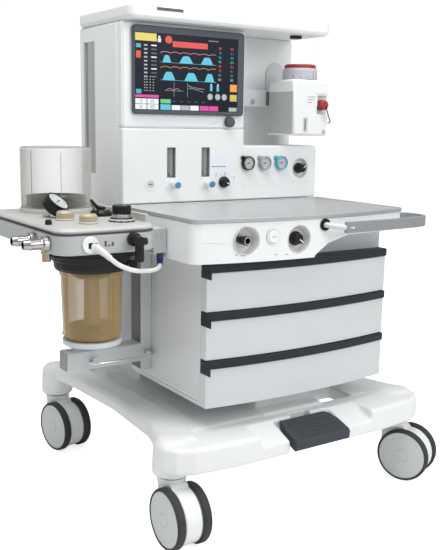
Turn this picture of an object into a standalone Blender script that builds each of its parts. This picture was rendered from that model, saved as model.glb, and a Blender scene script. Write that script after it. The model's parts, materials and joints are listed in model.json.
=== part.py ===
"""Veterinary anesthesia machine: wheeled base, drawer cabinet, console with
worktop, display tower with vaporizer bay, and a circle breathing system on the left.

Machine frame: the front faces -Y, the operator's right is +X, +Z is up, y = 0 is the
front of the tower and x = 0 its middle. place() moves it to the frame whose origin is
under the middle of the machine, on the floor.
"""
import bpy
import bmesh
from math import sin, cos, pi, radians
from mathutils import Matrix, Vector

for old in list(bpy.data.objects):
    bpy.data.objects.remove(old, do_unlink=True)

# ---- driving dimensions (metres) ------------------------------------------------
SHIFT = Vector((0.1226, 0.0391, 0.0))   # machine frame to object frame
GAP = 0.0003                            # between touching pieces

WHEEL_R = 0.075
WHEEL_W = 0.024
HOOD_W = 0.0476
TRAIL = 0.044
BASE_X = -0.011                         # middle of the wheel base
SWIVEL_X = 0.377
SWIVEL_Y = 0.361
SWIVELS = {"fl": (BASE_X - SWIVEL_X, -SWIVEL_Y, -0.01), "fr": (BASE_X + SWIVEL_X, -SWIVEL_Y, 0.42),
           "bl": (BASE_X - SWIVEL_X, SWIVEL_Y, 0.17), "br": (BASE_X + SWIVEL_X, SWIVEL_Y, 0.10)}
BASE_Z = 0.169                          # underside of the pods

CAB_X = 0.2948
CAB_FRONT = -0.336
CAB_BACK = 0.0295
CAB_Z = (0.3137, 0.7305)
FRONT_MID = -0.386                      # crown of the bowed drawer fronts
FRONT_BOW = 0.27
DRAWER_Z = ((0.3140, 0.4362), (0.4376, 0.5574), (0.5588, 0.6765))
STRIP_H = 0.0215

TOWER_X = 0.3356
TOWER_Y = (0.0300, 0.2728)
TOWER_Z = (0.3450, 1.2715)
PANEL_TOP = 0.9945
LEDGE_Z = 0.9475
WING_X = 0.0600
WING_Y = 0.1400
CANOPY_Z = (1.2718, 1.3130)
CANOPY_FRONT = -0.0514

DESK_X = 0.344
DESK_Z = (0.7788, 0.7885)
DESK_MID = -0.420                       # crown of the bowed worktop front
DESK_BOW = 0.36
CONSOLE_Z = 0.7308
SKIRT_Z = 0.6800

PLATE_X = (-0.640, -0.3836)
PLATE_Y = (-0.292, 0.205)
PLATE_Z = (0.7568, 0.7705)
BLOCK_Z = (0.7090, 0.7565)
DOME_AT = (-0.492, 0.082)
DOME_R = 0.0925
DOME_Z = (0.7850, 0.9420)
CAN_AT = (-0.498, -0.150)
CAN_R = 0.076
CAN_Z = (0.4773, 0.6505)


# ---- materials ------------------------------------------------------------------
def make_material(name, colour, rough, metal=0.0, alpha=1.0):
    mat = bpy.data.materials.new(name)
    mat.use_nodes = True
    shader = mat.node_tree.nodes["Principled BSDF"]
    shader.inputs["Base Color"].default_value = (*colour, 1.0)
    shader.inputs["Roughness"].default_value = rough
    shader.inputs["Metallic"].default_value = metal
    shader.inputs["Alpha"].default_value = alpha
    mat.diffuse_color = (*colour, alpha)
    mat.roughness = rough
    mat.metallic = metal
    return mat


WHITE = ((0.84, 0.86, 0.87), 0.38)
PALE = ((0.66, 0.70, 0.70), 0.42)
GREY = ((0.42, 0.44, 0.45), 0.45)
SLATE = ((0.055, 0.065, 0.085), 0.50)
BLACK = ((0.015, 0.015, 0.017), 0.42)
CHROME = ((0.78, 0.79, 0.80), 0.14, 1.0)
STEEL = ((0.62, 0.63, 0.64), 0.30, 1.0)


# ---- modelling helpers ----------------------------------------------------------
def finish(name, bm, look, at=(0, 0, 0), turn=0.0, smooth=32.0):
    """Turn a bmesh drawn about the piece's own origin into the named object."""
    bmesh.ops.remove_doubles(bm, verts=bm.verts, dist=1e-6)
    bmesh.ops.recalc_face_normals(bm, faces=bm.faces)
    mesh = bpy.data.meshes.new(name)
    bm.to_mesh(mesh)
    bm.free()
    obj = bpy.data.objects.new(name, mesh)
    bpy.context.scene.collection.objects.link(obj)
    obj.matrix_world = Matrix.Translation(Vector(at) + SHIFT) @ Matrix.Rotation(turn, 4, "Z")
    if look is not None:
        mesh.materials.append(make_material(name, *look))
        mesh.shade_smooth()
        mesh.set_sharp_from_angle(angle=radians(smooth))
    return obj


def tool(bm, at=(0, 0, 0), turn=0.0):
    """A body that only cuts or joins another one."""
    obj = finish("tool", bm, None, at, turn)
    obj.hide_render = True
    obj.display_type = "WIRE"
    return obj


def boolean(obj, other, kind):
    mod = obj.modifiers.new(kind.lower(), "BOOLEAN")
    mod.operation = kind
    mod.solver = "EXACT"
    mod.object = other


def cut(obj, *bodies):
    for body in bodies:
        boolean(obj, body, "DIFFERENCE")


def join(obj, *bodies):
    for body in bodies:
        boolean(obj, body, "UNION")


AXES = {"X": Matrix(((0, 0, 1), (1, 0, 0), (0, 1, 0))), "Y": Matrix(((1, 0, 0), (0, 0, -1), (0, 1, 0))),
        "Z": Matrix.Identity(3)}


def prism(outline, low, high, along="Z", bevel=0.0, bm=None, top=None):
    """Extrude a closed outline from low to high.

    along X takes outline (y, z), along Y takes (x, z), along Z takes (x, y). top gives
    the far outline when it differs."""
    bm = bm or bmesh.new()

    def spot(a, b, c):
        if along == "X":
            return (c, a, b)
        if along == "Y":
            return (a, c, b)
        return (a, b, c)
    near = [bm.verts.new(spot(a, b, low)) for a, b in outline]
    far = [bm.verts.new(spot(a, b, high)) for a, b in (top or outline)]
    n = len(near)
    caps = [bm.faces.new(near), bm.faces.new(list(reversed(far)))]
    for i in range(n):
        bm.faces.new((near[i], far[i], far[(i + 1) % n], near[(i + 1) % n]))
    bmesh.ops.recalc_face_normals(bm, faces=bm.faces)
    if bevel:
        edges = [e for f in caps for e in f.edges]
        bmesh.ops.bevel(bm, geom=edges, offset=bevel, segments=1, affect="EDGES")
    return bm


def box(x0, x1, y0, y1, z0, z1, bevel=0.0, segments=1, bm=None):
    bm = bm or bmesh.new()
    made = bmesh.ops.create_cube(bm, size=1.0)["verts"]
    bmesh.ops.scale(bm, vec=(x1 - x0, y1 - y0, z1 - z0), verts=made)
    bmesh.ops.translate(bm, vec=((x0 + x1) / 2, (y0 + y1) / 2, (z0 + z1) / 2), verts=made)
    if bevel:
        edges = list({e for v in made for e in v.link_edges})
        bmesh.ops.bevel(bm, geom=edges, offset=bevel, segments=segments, affect="EDGES")
    return bm


def rounded(x0, x1, y0, y1, r, steps=4):
    """A rectangle with rounded corners, as outline points."""
    pts = []
    for cx, cy, a0 in ((x1 - r, y1 - r, 0), (x0 + r, y1 - r, 90), (x0 + r, y0 + r, 180), (x1 - r, y0 + r, 270)):
        for k in range(steps + 1):
            a = radians(a0 + 90 * k / steps)
            pts.append((cx + r * cos(a), cy + r * sin(a)))
    return pts


def turned(profile, along="Z", segments=24, at=(0, 0, 0)):
    """Revolve (radius, height) points; ends on the axis have radius 0."""
    bm = bmesh.new()
    rings = []
    for r, h in profile:
        if r < 1e-9:
            rings.append([bm.verts.new((0, 0, h))])
        else:
            rings.append([bm.verts.new((r * cos(2 * pi * k / segments), r * sin(2 * pi * k / segments), h))
                          for k in range(segments)])
    for a, b in zip(rings, rings[1:]):
        for k in range(segments):
            k1 = (k + 1) % segments
            if len(a) == 1 and len(b) == 1:
                break
            if len(a) == 1:
                bm.faces.new((a[0], b[k], b[k1]))
            elif len(b) == 1:
                bm.faces.new((a[k], a[k1], b[0]))
            else:
                bm.faces.new((a[k], a[k1], b[k1], b[k]))
    if along != "Z":
        basis = {"X": Matrix.Rotation(pi / 2, 4, "Y"), "-X": Matrix.Rotation(-pi / 2, 4, "Y"),
                 "-Y": Matrix.Rotation(pi / 2, 4, "X"), "Y": Matrix.Rotation(-pi / 2, 4, "X"),
                 "-Z": Matrix.Rotation(pi, 4, "X")}[along]
        bmesh.ops.transform(bm, matrix=basis, verts=bm.verts)
    bmesh.ops.translate(bm, vec=at, verts=bm.verts)
    bmesh.ops.recalc_face_normals(bm, faces=bm.faces)
    return bm


def rod(r, h0, h1, along="Z", segments=20, at=(0, 0, 0)):
    return turned([(0, h0), (r, h0), (r, h1), (0, h1)], along, segments, at)


def bowed(half_x, crown, bow, back, corner=0.0, steps=14):
    """Plan outline with a convex front y = crown + bow x^2 and a straight back."""
    pts = []
    edge = half_x - corner
    for k in range(steps + 1):
        x = -edge + 2 * edge * k / steps
        pts.append((x, crown + bow * x * x))
    if corner:
        y_edge = crown + bow * edge * edge
        for k in range(1, 4):
            a = radians(-90 + 30 * k)
            pts.append((edge + corner * cos(a), y_edge + corner * (1 + sin(a))))
        pts += [(half_x, back), (-half_x, back)]
        for k in range(3, 0, -1):
            a = radians(-90 + 30 * k)
            pts.append((-edge - corner * cos(a), y_edge + corner * (1 + sin(a))))
    else:
        pts += [(half_x, back), (-half_x, back)]
    return pts


def smooth_path(points, step):
    """Catmull-Rom curve through the route points, sampled about every step metres."""
    pts = [Vector(p) for p in points]
    pts = [2 * pts[0] - pts[1]] + pts + [2 * pts[-1] - pts[-2]]
    out = []
    for p0, p1, p2, p3 in zip(pts, pts[1:], pts[2:], pts[3:]):
        n = max(2, round((p2 - p1).length / step))
        for k in range(n):
            t = k / n
            out.append(0.5 * ((2 * p1) + (p2 - p0) * t + (2 * p0 - 5 * p1 + 4 * p2 - p3) * t * t
                              + (3 * p1 - p0 - 3 * p2 + p3) * t ** 3))
    out.append(pts[-2])
    return out


def tube(name, points, radius, look, sides=2, step=None):
    """A round tube along a smooth route, with closed ends."""
    route = smooth_path(points, step or 5 * radius)
    curve = bpy.data.curves.new(name, "CURVE")
    curve.dimensions = "3D"
    curve.bevel_depth = radius
    curve.bevel_resolution = sides
    curve.use_fill_caps = True
    spline = curve.splines.new("POLY")
    spline.points.add(len(route) - 1)
    for point, place in zip(spline.points, route):
        point.co = (*(place + SHIFT), 1.0)
    obj = bpy.data.objects.new(name, curve)
    bpy.context.scene.collection.objects.link(obj)
    curve.materials.append(make_material(name, *look))
    return obj


def shifted(bm, at):
    """Redraw machine-frame geometry about the point that will be the origin."""
    bmesh.ops.translate(bm, vec=-Vector(at), verts=bm.verts)
    return bm


# ---- base on four twin-wheel casters --------------------------------------------
def pod(x, y):
    return tool(turned([(0, BASE_Z), (0.0450, BASE_Z), (0.0485, BASE_Z + 0.006), (0.0455, 0.246),
                        (0.0330, 0.2600), (0, 0.2630)], segments=20, at=(x, y, 0)))


def arm(side):
    outer = [(0.410, -0.345), (0.380, -0.240), (0.368, 0.0), (0.382, 0.215), (0.404, 0.360)]
    inner = [(0.345, 0.385), (0.290, 0.20), (0.280, 0.0), (0.280, -0.24), (0.320, -0.400)]
    return tool(prism([(BASE_X + side * x, y) for x, y in outer + inner], 0.2150, 0.2590, bevel=0.010))


edge = [(0.424, -0.361), (0.421, -0.395), (0.400, -0.424), (0.360, -0.443), (0.240, -0.4550)]
apron = [(BASE_X - x, y) for x, y in edge] + [(BASE_X + x, y) for x, y in reversed(edge)]
apron += [(BASE_X + 0.26, -0.325), (BASE_X - 0.26, -0.325)]
base = finish("base_frame", prism(apron, 0.1850, 0.2520, bevel=0.006), WHITE)
join(base, pod(BASE_X - SWIVEL_X, -SWIVEL_Y), pod(BASE_X + SWIVEL_X, -SWIVEL_Y),
     pod(BASE_X - SWIVEL_X, SWIVEL_Y), pod(BASE_X + SWIVEL_X, SWIVEL_Y), arm(-1), arm(1),
     tool(box(-0.37, 0.36, 0.325, 0.395, 0.1875, 0.2515, 0.006)),
     tool(box(-0.310, 0.290, 0.165, 0.330, 0.2200, 0.2655)),
     tool(box(-0.330, -0.090, -0.337, 0.190, 0.2180, 0.2565)),
     tool(box(0.090, 0.288, -0.242, 0.190, 0.2180, 0.2565)),
     tool(box(0.214, 0.300, -0.337, -0.235, 0.2180, 0.2565)),
     tool(box(-0.100, 0.100, -0.345, 0.200, 0.2125, 0.2605)),
     tool(box(-0.240, 0.240, 0.090, 0.262, 0.2550, CAB_Z[0] - GAP)),
     tool(box(-0.094, 0.094, -0.300, 0.120, 0.2500, CAB_Z[0] - GAP)))
scoop = [(-0.50, 0.2225), (-0.452, 0.2225), (-0.372, 0.2530), (-0.372, 0.30), (-0.50, 0.30)]
cut(base, tool(prism(scoop, -0.185, 0.185, along="X")),
    tool(box(-0.094, 0.094, -0.50, -0.376, 0.15, 0.30)),
    tool(rod(0.0044, -0.1072, 0.1072, along="X", segments=10, at=(0, -0.3685, 0.2320))),
    tool(box(-0.0320, 0.0320, -0.392, -0.3570, 0.15, 0.30)))
for sx, sy, _ in SWIVELS.values():
    cut(base, tool(rod(0.0116, 0.15, 0.2105, at=(sx, sy, 0), segments=12)))

# ---- brake pedal, turning on a cross pin behind its tread -----------------------
PEDAL_AT = (0.0, -0.3685, 0.2320)
tread = [(-0.4660, 0.1955), (-0.4720, 0.2000), (-0.4740, 0.2190), (-0.4680, 0.2255), (-0.3980, 0.2475),
         (-0.3800, 0.2475), (-0.3800, 0.2280), (-0.4080, 0.2160)]
pedal = finish("brake_pedal", shifted(prism(tread, -0.0890, 0.0890, along="X"), PEDAL_AT),
               SLATE, PEDAL_AT)
for side in (-1, 1):
    cut(pedal, tool(prism([(side * 0.068, -0.360), (side * 0.10, -0.360), (side * 0.10, -0.4600)],
                          0.15, 0.30)))
for k in range(5):
    y = -0.4100 - 0.0125 * k
    z = 0.2475 - 0.3143 * (-0.3980 - y)
    cut(pedal, tool(box(-0.068, 0.068, y - 0.0022, y + 0.0022, z - 0.0014, z + 0.02)))
join(pedal, tool(box(-0.030, 0.030, -0.388, -0.3650, 0.2250, 0.2400)),
     tool(rod(0.0080, -0.030, 0.030, along="X", at=PEDAL_AT, segments=16)),
     tool(rod(0.0041, -0.1068, 0.1068, along="X", segments=10, at=PEDAL_AT)))

# ---- casters --------------------------------------------------------------------
for key, (sx, sy, phi) in SWIVELS.items():
    hood = finish("caster_%s_hood" % key,
                  rod(0.0690, -HOOD_W / 2, HOOD_W / 2, along="X", segments=24, at=(0, -TRAIL, WHEEL_R)),
                  WHITE, (sx, sy, 0), phi)
    join(hood, tool(box(-HOOD_W / 2 + 0.0004, HOOD_W / 2 - 0.0004, -0.055, 0.0290, 0.0950, 0.1560),
                    (sx, sy, 0), phi),
         tool(turned([(0, 0.1512), (0.0355, 0.1512), (0.0355, BASE_Z - GAP), (0.0110, BASE_Z - GAP),
                      (0.0110, 0.2100), (0, 0.2100)], segments=12), (sx, sy, 0), phi))
    cut(hood, tool(rod(0.0083, -0.05, 0.05, along="X", segments=10, at=(0, -TRAIL, WHEEL_R)),
                   (sx, sy, 0), phi))
    half = HOOD_W / 2 + 0.0005
    side = [(0.0075, half), (WHEEL_R - 0.002, half), (WHEEL_R, half + 0.004),
            (WHEEL_R, half + WHEEL_W - 0.004), (WHEEL_R - 0.006, half + WHEEL_W), (0, half + WHEEL_W)]
    profile = [(r, -h) for r, h in reversed(side)] + side
    hub = Vector((sx, sy, 0)) + Matrix.Rotation(phi, 3, "Z") @ Vector((0, -TRAIL, WHEEL_R))
    finish("caster_%s_wheels" % key, turned(profile, along="X", segments=24), GREY, hub, phi)

# ---- cabinet with three drawer bays ---------------------------------------------
cabinet = finish("cabinet_shell", box(-CAB_X, CAB_X, CAB_FRONT, CAB_BACK, *CAB_Z), WHITE)
bays = [(z0 + 0.010, z1 - 0.012) for z0, z1 in DRAWER_Z]
for z0, z1 in bays:
    cut(cabinet, tool(box(-0.276, 0.276, CAB_FRONT - 0.05, 0.012, z0, z1)))


def drawer_outline(back):
    return bowed(CAB_X - 0.0006, FRONT_MID, FRONT_BOW, back)


DRAWER_BACK = CAB_FRONT - 0.0004
for n, (z0, z1) in enumerate(DRAWER_Z, 1):
    face = z1 - STRIP_H
    at = (0, DRAWER_BACK, z0)
    front = finish("drawer_%d" % n, shifted(prism(drawer_outline(DRAWER_BACK), z0, face), at), PALE, at)
    b0, b1 = bays[n - 1]
    join(front, tool(box(-0.2735, 0.2735, CAB_FRONT - 0.010, 0.004, b0 + 0.0015, face - 0.0100)))
    cut(front, tool(box(-0.2700, 0.2700, CAB_FRONT + 0.004, 0.0005, b0 + 0.0040, face + 0.05)))
    strip = finish("drawer_%d_grip" % n,
                   shifted(prism(bowed(CAB_X - 0.0010, FRONT_MID - 0.0050, FRONT_BOW, DRAWER_BACK),
                                 face + GAP, z1, bevel=0.0015), at), SLATE, at)
    cut(strip, tool(prism(bowed(CAB_X - 0.0080, FRONT_MID + 0.012, FRONT_BOW, CAB_FRONT - 0.004),
                          face - 0.002, z1 - 0.0040)))

# ---- console and worktop --------------------------------------------------------
console = finish("console_housing",
                 prism(bowed(DESK_X - 0.001, DESK_MID + 0.004, DESK_BOW, 0.0292, corner=0.030),
                       CONSOLE_Z, DESK_Z[0] - GAP), WHITE)
skirt = [(-0.343, -0.110)]
skirt += [(x, y) for x, y in bowed(DESK_X - 0.001, DESK_MID + 0.004, DESK_BOW, -0.110, corner=0.030)
          if x < 0.085 and y < -0.12]
skirt = sorted((p for p in skirt if p[0] > -0.3129), key=lambda p: p[0])
corner = [(-0.343, -0.110)] + [(-0.313 - 0.030 * cos(radians(a)),
                                DESK_MID + 0.004 + DESK_BOW * 0.313 ** 2 + 0.030 * (1 - sin(radians(a))))
                               for a in (0, 30, 60)]
skirt = corner + skirt + [(0.110, DESK_MID + 0.004 + DESK_BOW * 0.11 ** 2), (0.110, CAB_FRONT - 0.0004),
                          (-CAB_X - 0.0004, CAB_FRONT - 0.0004), (-CAB_X - 0.0004, -0.110)]
skirt_body = tool(prism(skirt, SKIRT_Z, CONSOLE_Z + 0.010))
cut(skirt_body, tool(prism([(-0.020, 0.60), (-0.004, 0.6850), (0.040, 0.7140), (0.115, CONSOLE_Z + 0.0005),
                            (0.20, CONSOLE_Z + 0.0005), (0.20, 0.60)], -0.50, -0.30, along="Y")))
join(console, skirt_body)
DISH_A = (-0.2060, 0.7330)
DISH_B = (-0.0560, 0.7300)
BUTTON = (-0.1320, 0.7400)


def desk_front(x):
    return DESK_MID + 0.004 + DESK_BOW * x * x


for x, z in (DISH_A, DISH_B):
    cut(console, tool(turned([(0, -0.022), (0.030, -0.022), (0.0370, 0.010), (0, 0.010)], along="-Y",
                             segments=24, at=(x, desk_front(x), z))))
cut(console, tool(rod(0.0168, -0.012, 0.02, along="-Y", at=(BUTTON[0], desk_front(BUTTON[0]), BUTTON[1]))),
    tool(rod(0.0043, -0.036, 0.02, along="-Y", segments=12,
             at=(BUTTON[0], desk_front(BUTTON[0]), BUTTON[1]))))

outlet_y = desk_front(DISH_A[0]) + 0.022
finish("gas_outlet", turned([(0.0075, 0.001), (0.0110, 0.001), (0.0110, 0.024), (0.0098, 0.0255),
                             (0.0075, 0.0255), (0.0075, 0.001)], along="-Y", segments=24), CHROME,
       (DISH_A[0], outlet_y, DISH_A[1]))
flush_y = desk_front(BUTTON[0])
finish("flush_button", turned([(0, -0.028), (0.0040, -0.028), (0.0040, -0.0040), (0.0160, -0.0040),
                               (0.0160, 0.0020), (0.0145, 0.0035), (0, 0.0035)], along="-Y"), WHITE,
       (BUTTON[0], flush_y, BUTTON[1]))
selector_y = desk_front(DISH_B[0]) + 0.022
finish("console_knob", turned([(0, 0.0008), (0.0180, 0.0008), (0.0180, 0.0200), (0.0160, 0.0230),
                               (0, 0.0230)], along="-Y", segments=24), BLACK, (DISH_B[0], selector_y, DISH_B[1]))

worktop = finish("worktop_plate",
                 prism(bowed(DESK_X, DESK_MID, DESK_BOW, -0.0006, corner=0.030), *DESK_Z), STEEL)
cut(worktop, tool(prism(bowed(DESK_X - 0.010, DESK_MID + 0.010, DESK_BOW, -0.010, corner=0.024),
                        DESK_Z[1] - 0.0030, DESK_Z[1] + 0.01)))

# ---- push handle: a flat bar round the right front corner -----------------------
bar_mid = [(0.050, -0.4540), (0.15, -0.4530), (0.25, -0.4500), (0.325, -0.4440), (0.360, -0.4330),
           (0.3810, -0.4100), (0.3850, -0.3800), (0.3780, -0.3450), (0.3620, -0.3280), (0.3446, -0.3230)]


def ribbon(path, half):
    left, right = [], []
    for k, p in enumerate(path):
        a = Vector(path[max(k - 1, 0)])
        b = Vector(path[min(k + 1, len(path) - 1)])
        d = (b - a).normalized()
        side = Vector((-d.y, d.x)) * half
        left.append(tuple(Vector(p) + side))
        right.append(tuple(Vector(p) - side))
    return left + right[::-1]


handle = finish("push_handle", prism(ribbon(bar_mid, 0.0055), 0.7420, 0.7710), GREY)
join(handle, tool(rod(0.0080, 0.0, 0.055, along="Y", segments=12, at=(0.070, -0.4520, 0.7560))))
cut(handle, tool(prism(bowed(DESK_X - 0.001 + GAP, DESK_MID + 0.004 - GAP, DESK_BOW, 0.03, corner=0.030),
                       0.70, 0.80)))

# ---- tower with the vaporizer bay and its bar -----------------------------------------------
tower = finish("tower_housing", box(-TOWER_X, TOWER_X, *TOWER_Y, *TOWER_Z, 0.006), WHITE)
cut(tower, tool(box(WING_X, 0.40, -0.05, WING_Y, LEDGE_Z - GAP, 1.40)),
    tool(box(-0.40, -TOWER_X + 0.0125, 0.1700, 0.2450, 0.8640, 1.2290)))
join(tower, tool(box(0.0640, 0.3300, 0.0800, WING_Y + 0.004, 1.0620, 1.1120, 0.003)))
finish("side_rail", box(-TOWER_X + 0.0008, -TOWER_X + 0.0122, 0.1703, 0.2447, 0.8643, 1.2287), STEEL)
cut(bpy.data.objects["side_rail"],
    tool(box(-0.40, -TOWER_X + 0.0090, 0.2180, 0.2330, 0.8500, 1.2400)))

finish("display_panel", box(-TOWER_X, WING_X, 0.0, TOWER_Y[0] - GAP, PANEL_TOP + GAP, TOWER_Z[1], 0.004,
                            2), WHITE)
gauge_outline = [(-TOWER_X, 0.7890), (TOWER_X, 0.7890), (TOWER_X, LEDGE_Z - 0.012),
                 (TOWER_X - 0.0035, LEDGE_Z - 0.0035), (TOWER_X - 0.012, LEDGE_Z), (WING_X, LEDGE_Z),
                 (WING_X, PANEL_TOP), (-TOWER_X, PANEL_TOP)]
gauge_panel = finish("gauge_panel", prism(gauge_outline, 0.0, TOWER_Y[0] - GAP, along="Y", bevel=0.003),
                     WHITE)

canopy_plan = rounded(-TOWER_X - 0.001, TOWER_X, CANOPY_FRONT, 0.2800, 0.022)
finish("canopy", prism(canopy_plan, *CANOPY_Z, bevel=0.008), WHITE)

# ---- display, its control wheel ---------------------------------------------------
DISPLAY_X = (-0.3090, 0.0480)
DISPLAY_Z = (1.0315, 1.2620)
display = finish("display_unit",
                 prism(rounded(*DISPLAY_X, *DISPLAY_Z, 0.010), -0.0120, -GAP, along="Y", bevel=0.0025),
                 SLATE)
cut(display, tool(box(-0.3040, 0.0250, -0.0200, -0.0105, 1.0420, 1.2440)))
DIAL_AT = (0.0035, -0.0004, 1.0140)
finish("display_knob", turned([(0, 0), (0.0150, 0), (0.0150, 0.0120), (0.0128, 0.0150), (0, 0.0150)],
                              along="-Y"), SLATE, DIAL_AT)
DIAL_AT = Vector(DIAL_AT)

# ---- gauges, flow controls and switches on the gauge panel --------------------------
GAUGES = (0.0720, 0.1330, 0.1940)
for n, x in enumerate(GAUGES, 1):
    finish("pressure_gauge_%d" % n,
           turned([(0, 0), (0.0205, 0), (0.0205, 0.0120), (0.0188, 0.0140), (0, 0.0140)],
                  along="-Y", segments=20), BLACK, (x, -0.0004, 0.8965))
TUBES = (-0.1845, -0.0720)
for x in TUBES:
    cut(gauge_panel, tool(box(x - 0.0135, x + 0.0135, -0.01, 0.0120, 0.8590, 0.9420)))
FLOW_KNOBS = (-0.1790, -0.0660)
for n, x in enumerate(FLOW_KNOBS, 1):
    finish("flow_knob_%d" % n,
           turned([(0, 0), (0.0080, 0), (0.0080, 0.0060), (0.0105, 0.0090), (0.0105, 0.0280),
                   (0.0088, 0.0305), (0, 0.0305)], along="-Y", segments=20),
           ((0.10, 0.27, 0.42), 0.35), (x, -0.0004, 0.8400))
SELECTOR_AT = (-0.0110, -0.0004, 0.8430)
finish("selector_knob", turned([(0, 0), (0.0165, 0), (0.0165, 0.0060), (0.0142, 0.0180), (0, 0.0180)],
                               along="-Y"), BLACK, SELECTOR_AT)
DISH_C = (0.2720, 0.8790)
cut(gauge_panel, tool(turned([(0, -0.012), (0.0260, -0.012), (0.0310, 0.006), (0, 0.006)], along="-Y",
                             segments=24, at=(DISH_C[0], 0.0, DISH_C[1]))))
SUCTION_AT = (DISH_C[0], 0.0117, DISH_C[1])
finish("suction_knob", turned([(0, 0), (0.0160, 0), (0.0160, 0.0260), (0.0140, 0.0285), (0, 0.0285)],
                              along="-Y"), BLACK, SUCTION_AT)

# ---- vaporizer on its mounting bar --------------------------------------------------
VAP_X = (0.1950, 0.3300)
VAP_Y = (-0.0560, 0.0700)
VAP_Z = (0.9780, 1.1420)
VAP_MID = (0.5 * (VAP_X[0] + VAP_X[1]), 0.0050)
vap = finish("vaporizer_body", box(*VAP_X, *VAP_Y, *VAP_Z, 0.006), WHITE)
join(vap, tool(box(0.2150, 0.3100, 0.0600, 0.0797, 1.0500, 1.1200)))
cut(vap, tool(box(0.2850, 0.40, -0.10, -0.0450, 1.0420, 1.0960)))
VAP_DIAL_AT = (VAP_MID[0] - 0.002, VAP_MID[1] - 0.004, VAP_Z[1] + GAP)
finish("vaporizer_dial", turned([(0, 0), (0.0505, 0), (0.0525, 0.0040), (0.0525, 0.0250), (0.0495, 0.0310),
                                 (0.0475, 0.0330), (0.0475, 0.0420), (0.0440, 0.0450), (0, 0.0450)],
                                segments=24), PALE, VAP_DIAL_AT)
CAP_AT = (0.3040, -0.0453, 1.0690)
finish("filler_cap", turned([(0, 0), (0.0120, 0), (0.0150, 0.0030), (0.0150, 0.0220), (0.0120, 0.0260),
                             (0, 0.0260)], along="-Y", segments=20), ((0.55, 0.03, 0.03), 0.40), CAP_AT)
TETHER_R = 0.0016
TETHER = [(0.3050, -0.0730, 1.0640), (0.3100, -0.0740, 1.0500), (0.3170, -0.0720, 1.0360),
          (0.3250, -0.0690, 1.0260), (0.3320, -0.0620, 1.0190), (0.3345, -0.0500, 1.0160)]
tube("cap_tether", TETHER, TETHER_R, BLACK, sides=2, step=0.006)

# ---- breathing system: bracket, block and cover plate ------------------------------
cover_plan = rounded(*PLATE_X, *PLATE_Y, 0.045, steps=6)
block = finish("breathing_block", prism(cover_plan, *BLOCK_Z, bevel=0.004), PALE)
join(block, tool(box(-0.4100, -0.3443, -0.2570, -0.0500, 0.7098, 0.7560)),
     tool(box(-0.3815, -0.3443, -0.2570, -0.0500, 0.6950, 0.7200)),
     tool(rod(0.0100, 0.6840, 0.7150, segments=14, at=(-0.6280, -0.1850, 0))))
cover = finish("cover_plate", prism(cover_plan, PLATE_Z[0], PLATE_Z[1], bevel=0.006), WHITE)
join(cover, tool(box(-0.3950, -0.3860, -0.2400, 0.1500, 0.7600, 0.7900)))
cut(cover, tool(box(-0.3838, -0.30, -0.4, 0.4, 0.70, 0.80)))

join(cover, tool(turned([(0, 0.7650), (0.0960, 0.7650), (0.0960, 0.7790), (0.0935, DOME_Z[0] - GAP),
                         (0, DOME_Z[0] - GAP)], segments=28, at=(*DOME_AT, 0))))
finish("bellows_dome",
       turned([(DOME_R - 0.003, DOME_Z[0]), (DOME_R, DOME_Z[0]), (DOME_R, DOME_Z[1] - 0.006),
               (DOME_R - 0.005, DOME_Z[1]), (0, DOME_Z[1] + 0.001), (0, DOME_Z[1] - 0.003),
               (DOME_R - 0.006, DOME_Z[1] - 0.004), (DOME_R - 0.003, DOME_Z[1] - 0.008),
               (DOME_R - 0.003, DOME_Z[0])], segments=28), ((0.70, 0.69, 0.66), 0.06, 0.0, 0.35),
       (*DOME_AT, 0))
pleats = [(0, DOME_Z[0] + GAP)]
for k in range(3):
    z = DOME_Z[0] + GAP + 0.0010 + 0.0096 * k
    pleats += [(0.0720, z), (0.0800, z + 0.0048)]
pleats += [(0.0790, DOME_Z[0] + 0.0330), (0.0760, DOME_Z[0] + 0.0350), (0, DOME_Z[0] + 0.0350)]
finish("bellows", turned(pleats, segments=24), BLACK, (*DOME_AT, 0))

# airway pressure gauge, tilted back on a short stem
GAUGE_AT = Vector((-0.5430, -0.0520, 0.8090))
tilt = Matrix.Rotation(radians(39), 4, "Z") @ Matrix.Rotation(radians(40), 4, "X")
bm = turned([(0, -0.028), (0.0180, -0.028), (0.0290, -0.019), (0.0320, -0.002), (0.0320, 0.005),
             (0, 0.005)], segments=20)
bmesh.ops.transform(bm, matrix=tilt, verts=bm.verts)
airway = finish("airway_gauge", bm, BLACK, GAUGE_AT)
join(airway, tool(rod(0.0110, PLATE_Z[1] + GAP, 0.8050, at=(-0.5450, -0.0440, 0), segments=12)))

VALVES = ((-0.5490, -0.1120), (-0.5270, -0.2000))
for n, (x, y) in enumerate(VALVES, 1):
    finish("valve_dome_%d" % n,
           turned([(0, PLATE_Z[1] + GAP), (0.0230, PLATE_Z[1] + GAP), (0.0230, 0.7750), (0.0210, 0.7760),
                   (0.0210, 0.7900), (0.0180, 0.7935), (0, 0.7945)], segments=20),
           ((0.62, 0.56, 0.42), 0.30), (x, y, 0))
APL_AT = (-0.4390, -0.2000, PLATE_Z[1] + GAP)
join(cover, tool(turned([(0, -0.005), (0.0320, -0.005), (0.0320, 0.0070), (0.0225, 0.0080),
                         (0.0210, 0.0180), (0, 0.0180)], segments=20, at=APL_AT)))
finish("apl_knob", turned([(0, 0.0183), (0.0230, 0.0183), (0.0230, 0.0385), (0.0212, 0.0405), (0, 0.0405)],
                          segments=20), BLACK, APL_AT)
LEVER_AT = (-0.4330, -0.0700, PLATE_Z[1] + GAP)
join(cover, tool(turned([(0, -0.005), (0.0280, -0.005), (0.0280, 0.0090), (0.0220, 0.0160),
                         (0, 0.0160)], segments=24, at=LEVER_AT)))
lever = finish("bag_lever", rod(0.0120, 0.0163, 0.0240, segments=16), BLACK, LEVER_AT)
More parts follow.
